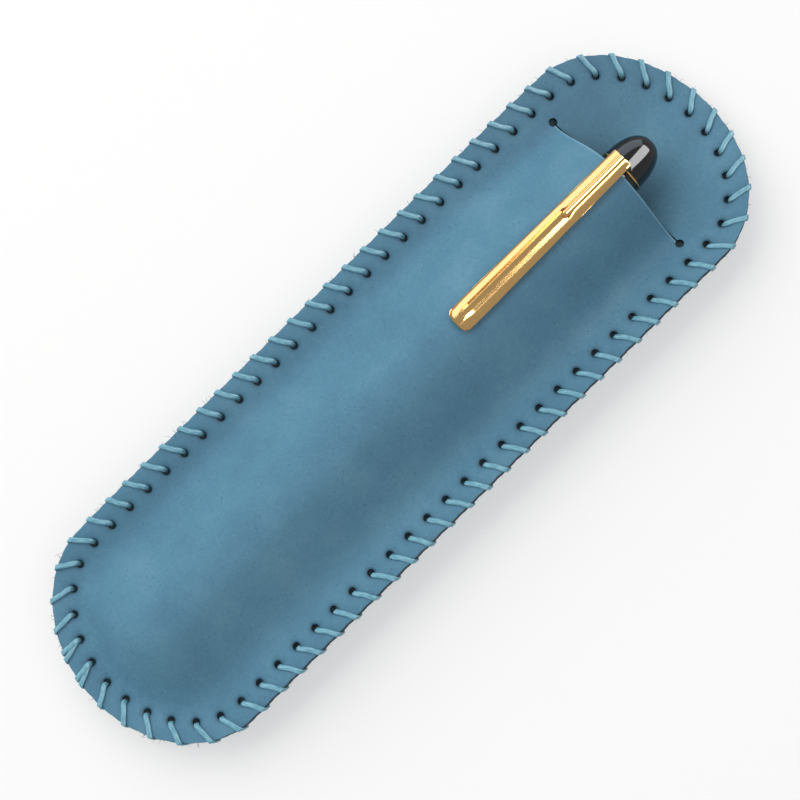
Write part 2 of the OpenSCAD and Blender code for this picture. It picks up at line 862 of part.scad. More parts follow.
module piston_rod() {
    color(steel_color)
        on_axis()
            hole(piston_from - rod_l, piston_from + piston_l / 2 - seat_gap, rod_r - seat_gap / 2);
}

back_panel();
front_panel();
edge_thread();
cap_tube();
cap_crown();
clip_ring();
clip();
cap_band();
inner_cap();
barrel();
tail_ring();
tail_button();
grip_section();
section_ring();
feed();
nib();
ink_tube();
ink_collar();
ink_knob();
piston();
piston_rod();
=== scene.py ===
"""Looks of a single pen sleeve: whip-stitched leather round a capped pen.

Lengths in the classes are millimetres in the sleeve's own frame, +Y to the slit end and +Z up,
and are turned to metres where a mesh is made.
"""
import json
import logging
import math
from dataclasses import dataclass
from enum import Enum
from typing import Callable, Sequence

import bpy
import numpy as np
from mathutils import Matrix, Vector, geometry


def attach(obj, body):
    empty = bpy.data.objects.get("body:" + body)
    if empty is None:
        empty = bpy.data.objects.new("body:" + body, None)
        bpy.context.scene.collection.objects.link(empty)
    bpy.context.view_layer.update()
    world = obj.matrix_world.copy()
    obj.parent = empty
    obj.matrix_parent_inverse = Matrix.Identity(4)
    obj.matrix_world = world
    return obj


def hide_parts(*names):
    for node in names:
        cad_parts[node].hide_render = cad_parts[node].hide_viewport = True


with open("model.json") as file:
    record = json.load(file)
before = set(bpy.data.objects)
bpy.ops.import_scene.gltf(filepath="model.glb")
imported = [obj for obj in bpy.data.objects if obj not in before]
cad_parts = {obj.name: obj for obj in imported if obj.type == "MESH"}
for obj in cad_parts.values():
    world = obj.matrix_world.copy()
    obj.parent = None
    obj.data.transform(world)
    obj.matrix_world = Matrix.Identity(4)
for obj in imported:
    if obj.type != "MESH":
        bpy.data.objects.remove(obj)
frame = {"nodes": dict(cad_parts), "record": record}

LOG = logging.getLogger("pen_sleeve")
MM = 0.001
SEED = 20

Profile = list[tuple[float, float]]
# A step of a strand: along the hole line, out from it, level (0 underside, 1 seam, 2 front) and rise
Step = tuple[float, float, int, float]


class Body(Enum):
    """The bodies that pieces ride on."""

    SLEEVE = "sleeve"
    BARREL = "pen_barrel"
    CAP = "pen_cap"
    CLIP = "pen_clip"


class Slot(Enum):
    """The record's material slots."""

    LEATHER = "leather"
    THREAD = "thread"
    RESIN = "resin"
    GOLD = "gold"
    FEED = "feed_plastic"
    CLEAR = "clear_plastic"
    STEEL = "steel"
    SEAL = "seal"


class Feeds(Enum):
    """What a light feeds: the matt scatter of every surface, or the gloss alone, as a card does."""

    MATT = "matt"
    GLOSS = "gloss"


def linear(hex_colour: str) -> tuple[float, float, float, float]:
    """Turns an sRGB hex colour into a linear one.

    Args:
        hex_colour: a colour such as "#4b7c98".

    Returns:
        Red, green, blue and an alpha of 1.
    """
    parts = [int(hex_colour[i:i + 2], 16) / 255 for i in (1, 3, 5)]
    return (*[p / 12.92 if p <= 0.04045 else ((p + 0.055) / 1.055) ** 2.4 for p in parts], 1.0)


def fill(node: bpy.types.Node, inputs: dict) -> None:
    """Sets or links a node's inputs.

    Args:
        node: the node.
        inputs: values or sockets by the input's name or number.
    """
    for name, value in inputs.items():
        if isinstance(value, bpy.types.NodeSocket):
            node.id_data.links.new(value, node.inputs[name])
        else:
            node.inputs[name].default_value = value


def add_node(tree: bpy.types.NodeTree, kind: str, inputs: dict | None = None, out: int | str = 0,
             stops: Sequence[tuple[float, str]] = (), **settings) -> bpy.types.NodeSocket:
    """Adds a node with its settings and its inputs.

    Args:
        tree: the material's node tree.
        kind: the node's type name.
        inputs: values or sockets by the input's name or number.
        out: name or number of the output that is wanted.
        stops: a colour ramp's places from 0 to 1, with their hex colours.
        settings: properties of the node.

    Returns:
        The output's socket.
    """
    made = tree.nodes.new(kind)
    for name, value in settings.items():
        setattr(made, name, value)
    if stops:
        bands = made.color_ramp.elements
        while len(bands) < len(stops):
            bands.new(0.5)
        for band, (place, colour) in zip(bands, stops):
            band.position = place
            band.color = linear(colour)
    fill(made, inputs or {})
    return made.outputs[out]


def new_material(name: str, colour: str = "", **values: float) -> tuple[
        bpy.types.Material, bpy.types.NodeTree, bpy.types.Node, bpy.types.NodeSocket]:
    """Makes a material with one Principled shader.

    Args:
        name: the material's real name.
        colour: its even colour, where no pattern gives one.
        values: constants on the shader's own sockets, with _ for a space.

    Returns:
        The material, its node tree, its shader and the piece's own coordinates.
    """
    material = bpy.data.materials.new(name)
    material.use_nodes = True
    tree = material.node_tree
    tree.nodes.clear()
    surface = add_node(tree, "ShaderNodeBsdfPrincipled")
    fill(tree.nodes.new("ShaderNodeOutputMaterial"), {"Surface": surface})
    if colour:
        values["Base_Color"] = linear(colour)
    fill(surface.node, {name.replace("_", " "): value for name, value in values.items()})
    return material, tree, surface.node, add_node(tree, "ShaderNodeTexCoord", out="Object")


@dataclass(frozen=True)
class NubuckLeather:
    """Waxed nubuck: cowhide sanded on the grain side, which leaves a short nap that scatters the light.

    The hand leaves broad clouds in the nap, lint sits on it and pores show as small dark pits. Painted shade,
    in the pores' colour, darkens it round the stitch holes and along the thread's grooves.
    """

    dark: str = "#486f85"
    middle: str = "#507c92"
    light: str = "#5f899c"
    worn: str = "#7fabbd"
    # The pores' colour, also used for the painted shade round the stitch holes and along the thread's grooves
    pore_and_shade: str = "#223f4f"
    nap_glow: str = "#bcd6e4"
    cloud_size: float = 14.0
    nap_size: float = 0.35
    grain_size: float = 0.9
    speck_size: float = 0.55
    lint: float = 0.2
    pits: float = 0.35

    def material(self) -> bpy.types.Material:
        """Builds the leather's outer face, paler where it is worn, with painted shade round the stitch holes
        and along the thread's grooves.
        """
        material, tree, shader, place = new_material(
            "waxed_nubuck", Roughness=0.64, Sheen_Weight=0.06, Sheen_Roughness=0.4,
            Sheen_Tint=linear(self.nap_glow), IOR=1.4, Specular_IOR_Level=0.2)
        clouds, nap, grain, specks = (
            add_node(tree, "ShaderNodeTexNoise",
                     {"Vector": place, "Scale": 1 / (size * MM), "Detail": detail, "Roughness": rough})
            for size, detail, rough in ((self.cloud_size, 5.0, 0.62), (self.nap_size, 3.0, 0.7),
                                        (self.grain_size, 4.0, 0.6), (self.speck_size, 1.0, 0.5)))
        mixed: bpy.types.NodeSocket | float = 0.0
        for pattern, share in ((clouds, 0.62), (grain, 0.22), (nap, 0.16)):
            mixed = add_node(tree, "ShaderNodeMath", {0: pattern, 1: share, 2: mixed},
                             operation="MULTIPLY_ADD")
        tone = add_node(tree, "ShaderNodeValToRGB", {0: mixed},
                        stops=[(0.30, self.dark), (0.5, self.middle), (0.72, self.light)])
        lint = add_node(tree, "ShaderNodeMapRange", {0: specks, 1: 0.67, 2: 0.78, 3: 0.0, 4: self.lint})
        pits = add_node(tree, "ShaderNodeMapRange", {0: specks, 1: 0.32, 2: 0.24, 3: 0.0, 4: self.pits})
        # The second attribute is painted shade round the stitch holes and along the thread's grooves, mixed
        # in with the pores' colour
        worn, stitch_shade = (add_node(tree, "ShaderNodeAttribute", out="Fac", attribute_name=name)
                      for name in ("worn", "stitch_shade"))
        for share, colour in ((lint, self.worn), (pits, self.pore_and_shade), (worn, self.worn), (stitch_shade, self.pore_and_shade)):
            tone = add_node(tree, "ShaderNodeMix", {0: share, 6: tone, 7: linear(colour)}, 2,
                            data_type="RGBA")
        bump = add_node(tree, "ShaderNodeBump", {"Height": nap, "Strength": 0.35, "Distance": 0.05 * MM})
        bump = add_node(tree, "ShaderNodeBump",
                        {"Height": grain, "Strength": 0.3, "Distance": 0.12 * MM, "Normal": bump})
        fill(shader, {"Base Color": tone, "Normal": bump})
        return material


@dataclass(frozen=True)
class FibrousHide:
    """Hide without its grain side: matt and fibrous, as the suede inside or the raw cut edge.

    The cut edge is undyed in its middle, with the dye only near the faces.
    """

    name: str
    dark: str
    light: str
    fibre: float
    detail: float
    coarseness: float
    stops: tuple[float, float]
    strength: float
    depth: float
    roughness: float
    gloss: float = 0.5
    nap: float = 0.0

    def material(self) -> bpy.types.Material:
        """Builds the hide's fibres."""
        material, tree, shader, place = new_material(
            self.name, Roughness=self.roughness, Specular_IOR_Level=self.gloss, Sheen_Weight=self.nap,
            Sheen_Roughness=0.6)
        fibres = add_node(tree, "ShaderNodeTexNoise", {
            "Vector": place, "Scale": 1 / (self.fibre * MM), "Detail": self.detail,
            "Roughness": self.coarseness})
        tone = add_node(tree, "ShaderNodeValToRGB", {0: fibres},
                        stops=list(zip(self.stops, (self.dark, self.light))))
        bump = add_node(tree, "ShaderNodeBump",
                        {"Height": fibres, "Strength": self.strength, "Distance": self.depth * MM})
        fill(shader, {"Base Color": tone, "Normal": bump})
        return material


@dataclass(frozen=True)
class WaxedThread:
    """Flat waxed polyester thread: filaments under wax, so it streaks along its length and glows softly."""

    dark: str = "#4b889e"
    light: str = "#7fb1be"
    filament: float = 0.16
    stretch: float = 0.7

    def material(self) -> bpy.types.Material:
        """Builds the thread, streaked along its own UV map."""
        material, tree, shader, _ = new_material(
            "waxed_flat_thread", Roughness=0.42, Sheen_Weight=0.15, Sheen_Roughness=0.4, IOR=1.45)
        # U runs round the thread and V along it, in millimetres, so V is pressed to draw filaments
        place = add_node(tree, "ShaderNodeMapping", {
            "Vector": add_node(tree, "ShaderNodeUVMap", uv_map="UVMap"),
            "Scale": (1 / self.filament, self.stretch, 1.0)})
        filaments = add_node(tree, "ShaderNodeTexNoise",
                             {"Vector": place, "Scale": 1.0, "Detail": 2.0, "Roughness": 0.5})
        tone = add_node(tree, "ShaderNodeValToRGB", {0: filaments},
                        stops=[(0.32, self.dark), (0.66, self.light)])
        bump = add_node(tree, "ShaderNodeBump", {"Height": filaments, "Strength": 0.7, "Distance": 0.06 * MM})
        fill(shader, {"Base Color": tone, "Normal": bump})
        return material


@dataclass(frozen=True)
class Polish:
    """A smooth hard surface whose roughness varies a little, so that its reflections aren't dead even."""

    name: str
    colour: str
    mark: float
    detail: float
    rough: tuple[float, float]
    window: tuple[float, float] = (0.0, 1.0)
    along: float = 1.0
    metal: float = 0.0
    clear: float = 0.0
    ior: float = 1.5

    def material(self) -> bpy.types.Material:
        """Builds the polish, with its marks in the roughness alone."""
        material, tree, shader, place = new_material(
            self.name, self.colour, Metallic=self.metal, Transmission_Weight=self.clear, IOR=self.ior)
        place = add_node(tree, "ShaderNodeMapping", {"Vector": place, "Scale": (1.0, self.along, 1.0)})
        marks = add_node(tree, "ShaderNodeTexNoise",
                         {"Vector": place, "Scale": 1 / (self.mark * MM), "Detail": self.detail})
        spread = add_node(tree, "ShaderNodeMapRange", dict(enumerate((marks, *self.window, *self.rough))))
        fill(shader, {"Roughness": spread})
        return material


@dataclass(frozen=True)
class Moulded:
    """A moulded matt surface: even, with the faint texture of its mould."""

    name: str
    colour: str
    roughness: float
    texture: float = 0.3
    strength: float = 0.15
    depth: float = 0.02

    def material(self, **values: float) -> bpy.types.Material:
        """Builds the plastic, rubber or board.

        Args:
            values: more constants on the shader's own sockets.

        Returns:
            The material.
        """
        material, tree, shader, place = new_material(
            self.name, self.colour, Roughness=self.roughness, **values)
        skin = add_node(tree, "ShaderNodeTexNoise",
                        {"Vector": place, "Scale": 1 / (self.texture * MM), "Detail": 2.0})
        bump = add_node(tree, "ShaderNodeBump",
                        {"Height": skin, "Strength": self.strength, "Distance": self.depth * MM})
        fill(shader, {"Normal": bump})
        return material


class Finishes:
    """Every finish of the object, made once."""

    def __init__(self) -> None:
        """Makes the finishes."""
        # Cut edge of the hide: dead matt and rough, brown in its undyed middle and blue near the faces
        self.edge = FibrousHide(
            "raw_cut_hide", dark="#24404f", light="#4a423d", fibre=0.22, detail=4.0, coarseness=0.75,
            stops=(0.36, 0.6), strength=0.8, depth=0.15, roughness=0.95, gloss=0.1).material()
        # Flesh side, the suede inside: a soft matt nap, its colour darkened as painted shade where it shows
        # through the slit and the stop holes
        self.flesh = FibrousHide(
            "flesh_side_suede", dark="#2b4655", light="#43636f", fibre=0.5, detail=6.0, coarseness=0.7,
            stops=(0.35, 0.65), strength=0.6, depth=0.12, roughness=0.9, nap=0.4).material()
        makers = {
            Slot.LEATHER: NubuckLeather(),
            Slot.THREAD: WaxedThread(),
            # Buffed to a deep gloss: black, with a clear reflection and a faint buffing haze
            Slot.RESIN: Polish("polished_acrylic_resin", "#050506", mark=3.0, detail=3.0,
                               rough=(0.05, 0.11), window=(0.3, 0.7), ior=1.65),
            # A mirror, with fine wiping marks along the pen that spread its highlights a little
            Slot.GOLD: Polish("polished_gold_plate", "#f5c680", mark=0.3, detail=3.0,
                              rough=(0.1, 0.14), window=(0.35, 0.7), along=0.06, metal=1.0),
            # Injection-moulded: dark and satin, with even soft highlights
            Slot.FEED: Moulded("moulded_abs", "#1b1b1d", 0.45),
            # Duller than the plastic, as a rubber seal is
            Slot.SEAL: Moulded("nitrile_rubber", "#242426", 0.7),
            # Extruded tube: glass-like, with faint draw lines
            Slot.CLEAR: Polish("clear_acrylic", "#eef5f8", mark=2.0, detail=1.0, rough=(0.03, 0.08),
                               clear=1.0, ior=1.49),
            # Drawn steel tube, plated: a softer mirror than the gold, slightly brushed
            Slot.STEEL: Polish("bright_nickel_plate", "#c9c8c4", mark=0.4, detail=2.0,
                               rough=(0.15, 0.3), metal=1.0),
        }
        self.by_slot = {slot: maker.material() for slot, maker in makers.items()}

    def dress_nodes(self) -> None:
        """Gives every CAD node the finish of its slot."""
        for part in frame["record"]["subparts"]:
            mesh = frame["nodes"][part["node"]].data
            mesh.materials.clear()
            mesh.materials.append(self.by_slot[Slot(part["material_slot"])])


def smooth(t: np.ndarray | float) -> np.ndarray:
    """Eases from 0 to 1 with level ends."""
    t = np.clip(t, 0, 1)
    return t * t * (3 - 2 * t)


def unit(ways: np.ndarray) -> np.ndarray:
    """Gives each direction a length of 1."""
    return ways / np.linalg.norm(ways, axis=-1, keepdims=True)


def tube_faces(start: int, rings: int, sides: int, clockwise: bool = False) -> list[tuple[int, ...]]:
    """Lists the faces of a closed tube: four-sided ones ring by ring, then its two ends.

    Args:
        start: number of the tube's first point.
        rings: how many rings of points it has.
        sides: how many points a ring has.
        clockwise: whether the rings run clockwise, looking back along the tube.

    Returns:
        The faces, turned outwards.
    """
    faces = []
    for i in range(rings - 1):
        for k in range(sides):
            a, b = start + i * sides + k, start + i * sides + (k + 1) % sides
            faces.append((a, a + sides, b + sides, b) if clockwise else (a, b, b + sides, a + sides))
    near = tuple(range(start, start + sides))
    far = tuple(k + (rings - 1) * sides for k in near)
    return faces + ([near, far[::-1]] if clockwise else [near[::-1], far])


def new_piece(name: str, points: np.ndarray | list, faces: list,
              *materials: bpy.types.Material) -> bpy.types.Object:
    """Makes a piece from its points and faces.

    Args:
        name: the piece's name.
        points: its points, in millimetres.
        faces: its faces, by number of point.
        materials: its finishes.

    Returns:
        The piece.
    """
    mesh = bpy.data.meshes.new(name)
    mesh.from_pydata((np.asarray(points) * MM).tolist(), [], faces)
    mesh.update()
    for material in materials:
        mesh.materials.append(material)
    piece = bpy.data.objects.new(name, mesh)
    bpy.context.collection.objects.link(piece)
    return piece


def place_piece(piece: bpy.types.Object, body: Body, slot: Slot, *nodes: str) -> None:
    """Hangs a finished piece on its body, for the nodes that it stands for.

    Args:
        piece: the finished object, with its place in its mesh.
        body: what it rides on.
        slot: the record's slot of its finish; not used.
        nodes: the CAD nodes that it replaces.
    """
    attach(piece, body.value)
    if nodes:
        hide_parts(*nodes)
    LOG.info("%s rides on %s, %d faces", piece.name, body.value, len(piece.data.polygons))


class Modeller:
    """Hand-modelling steps that the pieces share, all made by Blender's operators."""

    @staticmethod
    def clear() -> None:
        """Deselects everything, in object mode."""
        if bpy.context.object and bpy.context.object.mode != "OBJECT":
            bpy.ops.object.mode_set(mode="OBJECT")
        bpy.ops.object.select_all(action="DESELECT")

    @staticmethod
    def shade(piece: bpy.types.Object, angle: float) -> None:
        """Shades a piece smooth, but for the edges that are sharper than an angle in degrees."""
        Modeller.clear()
        piece.select_set(True)
        bpy.context.view_layer.objects.active = piece
        bpy.ops.object.shade_smooth_by_angle(angle=math.radians(angle))

    @staticmethod
    def finish(piece: bpy.types.Object, material: bpy.types.Material, place: Matrix, angle: float) -> None:
        """Puts a piece made on the pen's own axis into the shared frame and shades it.

        Args:
            piece: the piece, made at the origin.
            material: its finish.
            place: where its axis goes.
            angle: edges sharper than this, in degrees, stay sharp.
        """
        piece.data.transform(place)
        piece.data.materials.clear()
        piece.data.materials.append(material)
        Modeller.shade(piece, angle)

    @staticmethod
    def solid(add: Callable, at: tuple[float, float, float], ease: float = 0.0, steps: int = 1,
              stretch: tuple[float, float, float] | None = None, only_top: bool = False,
              **values) -> bpy.types.Object:
        """Adds a primitive, stretches it about its own middle and rounds its edges.

        Args:
            add: Blender's operator for the primitive.
            at: its middle, in millimetres.
            ease: how far its edges are rounded, in millimetres.
            steps: faces across a rounded edge.
            stretch: how much it grows along each axis.
            only_top: whether only the edge of its upper face is rounded.
            values: the operator's other settings.

        Returns:
            The piece, in object mode.
        """
        Modeller.clear()
        spot = [v * MM for v in at]
        add(location=spot, **values)
        piece = bpy.context.object
        bpy.ops.object.mode_set(mode="EDIT")
        if only_top:
            bpy.ops.mesh.select_mode(type="FACE")
            bpy.ops.mesh.select_all(action="DESELECT")
            bpy.ops.object.mode_set(mode="OBJECT")
            for face in piece.data.polygons:
                face.select = face.normal.z > 0.9
            bpy.ops.object.mode_set(mode="EDIT")
        else:
            bpy.ops.mesh.select_all(action="SELECT")
        if stretch:
            bpy.ops.transform.resize(value=stretch, center_override=spot)
        if ease:
            bpy.ops.mesh.bevel(offset=ease * MM, segments=steps, affect="EDGES")
        bpy.ops.object.mode_set(mode="OBJECT")
        return piece

    @staticmethod
    def turned(name: str, profile: Profile, sides: int, pole: float = 1e-4) -> bpy.types.Object:
        """Turns a closed wall on the Z axis, from a circle extruded and resized ring by ring.

        Args:
            name: the piece's name.
            profile: height and radius of each ring, in millimetres; a radius of 0 closes the piece, and
                a profile that comes back to its start is joined there.
            sides: points round it.
            pole: radius of a ring that stands for a pole, before it is merged.

        Returns:
            The piece, in object mode.
        """
        Modeller.clear()
        first = 1 if profile[0][1] == 0 else 0
        height, radius = profile[first]
        bpy.ops.mesh.primitive_circle_add(vertices=sides, radius=radius * MM, location=(0, 0, 0),
                                          fill_type="NOTHING")
        piece = bpy.context.object
        piece.name = name
        bpy.ops.object.mode_set(mode="EDIT")
        bpy.ops.mesh.select_all(action="SELECT")
        bpy.ops.transform.translate(value=(0, 0, height * MM))
        for next_height, next_radius in profile[first + 1:]:
            bpy.ops.mesh.extrude_edges_move(
                TRANSFORM_OT_translate={"value": (0, 0, (next_height - height) * MM)})
            scale = max(next_radius, pole) / radius
            bpy.ops.transform.resize(value=(scale, scale, 1), center_override=(0, 0, next_height * MM))
            height, radius = next_height, max(next_radius, pole)
        bpy.ops.mesh.select_all(action="SELECT")
        bpy.ops.mesh.remove_doubles(threshold=1e-6)
        bpy.ops.mesh.select_all(action="DESELECT")
        bpy.ops.mesh.select_mode(type="EDGE")
        bpy.ops.mesh.select_non_manifold()
        bpy.ops.mesh.fill_holes(sides=0)
        bpy.ops.mesh.select_all(action="SELECT")
        bpy.ops.mesh.normals_make_consistent(inside=False)
        bpy.ops.object.mode_set(mode="OBJECT")
        return piece


@dataclass
class SleeveForm:
    """The sleeve's shape, worked out as in the CAD model, and its outline with the stitches' places."""

    length: float = 165.0
    width: float = 50.0
    end_depth: float = 20.3
    leather_t: float = 1.5
    panel_gap: float = 0.1
    rest_half: float = 5.0
    edge_lift: float = 6.0
    end_lift: float = 4.0
    tip_lift: float = 0.75
    tip_rise_l: float = 17.4
    bulge_half: float = 19.5
    bulge_foot: float = 18.5
    slit_from_top: float = 23.8
    slit_w: float = 34.3
    slit_gap: float = 0.3
    stop_hole_d: float = 1.7
    stitch_count: int = 74
    stitch_inset: float = 4.0
    stitch_hole_d: float = 1.5
    first_stitch: float = 0.02
    tail_inset: float = 13.5
    pen_tilt: float = 1.95
    tail_height: float = 5.65493
    cap_lip_r: float = 5.75
    ring_proud: float = 0.15
    pocket_gap: float = 0.4
    border_blend_from: float = 45.0
    flap_blend: float = 40.0
    bulge_narrowing: float = 35.0
    curve_power: float = 1.2
    end_points: int = 240
    side_points: int = 800
    # Small forms of the real leather, which the CAD model leaves out
    groove_depth: float = 0.16
    groove_half: float = 0.75
    pinch: float = 0.1
    pinch_half: float = 0.6
    dimple: float = 0.14
    dimple_half: float = 0.45

    def __post_init__(self) -> None:
        """Works out the outline and the stitches' places along it."""
        self.half_w = self.width / 2
        self.half_l = self.length / 2
        self.straight = self.half_l - self.end_depth
        self.slit_y = self.half_l - self.slit_from_top
        self.slit_half = self.slit_w / 2
        self.tail_y = -self.half_l + self.tail_inset
        # What lies between the pen's axis and the leather over its cap
        self.cap_reach = self.cap_lip_r + self.ring_proud + self.pocket_gap
        arc = np.linspace(0, math.pi / 2, self.end_points, endpoint=False)
        run = np.linspace(0, 1, self.side_points, endpoint=False)
        parts = []
        for quarter, end in enumerate((1, -1, -1, 1), 1):
            angle = quarter * math.pi / 2 + arc
            parts.append(np.stack(
                [self.half_w * np.cos(angle), end * self.straight + self.end_depth * np.sin(angle)], 1))
            if quarter % 2:
                side = quarter - 2
                parts.append(np.stack(
                    [np.full(len(run), side * self.half_w), side * self.straight * (2 * run - 1)], 1))
        self.outline = np.concatenate(parts)
        self.normals = self.outward(self.outline)
        holes = self.outline - self.stitch_inset * self.normals
        steps = np.linalg.norm(np.roll(holes, -1, 0) - holes, axis=1)
        self.lengths = np.concatenate([[0], np.cumsum(steps)])
        self.path_l = float(self.lengths[-1])
        self.pitch = self.path_l / self.stitch_count
        self.stitch_starts = [(i + self.first_stitch) * self.pitch for i in range(self.stitch_count)]
        self.hole_spots = np.array([self.along(start, 0) for start in self.stitch_starts])

    def outward(self, spots: np.ndarray) -> np.ndarray:
        """Which way is out of the sleeve at places near its edge."""
        over = np.maximum(0, np.abs(spots[:, 1]) - self.straight) * np.sign(spots[:, 1])
        return unit(np.stack([spots[:, 0] / self.half_w ** 2, over / self.end_depth ** 2], 1))

    def along(self, s: float | np.ndarray, outside: float | np.ndarray) -> np.ndarray:
        """Finds the place at a distance along the hole line and outside it.

        Args:
            s: distance along the hole line from the top, anticlockwise.
            outside: distance outwards from the hole line; the edge is at `stitch_inset`.

        Returns:
            X and Y, in the last axis.
        """
        w = np.mod(s, self.path_l)
        spot, out = (
            np.stack([np.interp(w, self.lengths, np.append(line[:, k], line[0, k])) for k in (0, 1)], -1)
            for line in (self.outline, self.normals))
        return spot + (np.asarray(outside) - self.stitch_inset)[..., None] * unit(out)

    def axis_height(self, y: np.ndarray) -> np.ndarray:
        """Height of the pen's axis above the ground."""
        return self.tail_height + (y - self.tail_y) * math.tan(math.radians(self.pen_tilt))

    def back(self, x: np.ndarray, y: np.ndarray) -> np.ndarray:
        """Height of the back panel's underside."""
        border = self.edge_lift - (self.edge_lift - self.end_lift) * smooth(
            (np.abs(y) - self.border_blend_from) / (self.half_l - self.border_blend_from))
        reach = np.hypot(x / self.half_w, np.maximum(0, -y - self.straight) / self.end_depth)
        flat = self.rest_half / self.half_w
        v = np.maximum(0, (reach - flat) / (1 - flat))
        flare = smooth((y - self.slit_y + self.flap_blend) / self.flap_blend)
        lift = self.tip_lift * smooth((y - self.slit_y) / self.tip_rise_l)
        return border * ((1 - flare) * smooth(v) + flare * v ** self.curve_power) + lift

    def bulge(self, x: np.ndarray, y: np.ndarray, below_slit: np.ndarray) -> np.ndarray:
        """Height of the front panel above the back panel's, over the pen."""
        narrow = smooth((y - self.slit_y + self.bulge_narrowing) / self.bulge_narrowing)
        half = self.bulge_half - (self.bulge_half - self.slit_half) * narrow
        foot_y = -self.half_l + self.bulge_foot
        ratio = self.bulge_half / (self.bulge_foot - self.stitch_inset)
        away = np.hypot(x, ratio * np.maximum(0, foot_y - y)) / half
        crest = self.axis_height(y) + self.cap_reach - self.leather_t - self.panel_gap
        bell = crest * (1 + np.cos(math.pi * np.minimum(1, away) ** self.curve_power)) / 2
        return np.where(below_slit, bell, 0.0)

    def front(self, x: np.ndarray, y: np.ndarray, below_slit: np.ndarray) -> np.ndarray:
        """Height of the front panel's underside."""
        return self.back(x, y) + self.leather_t + self.panel_gap + self.bulge(x, y, below_slit)


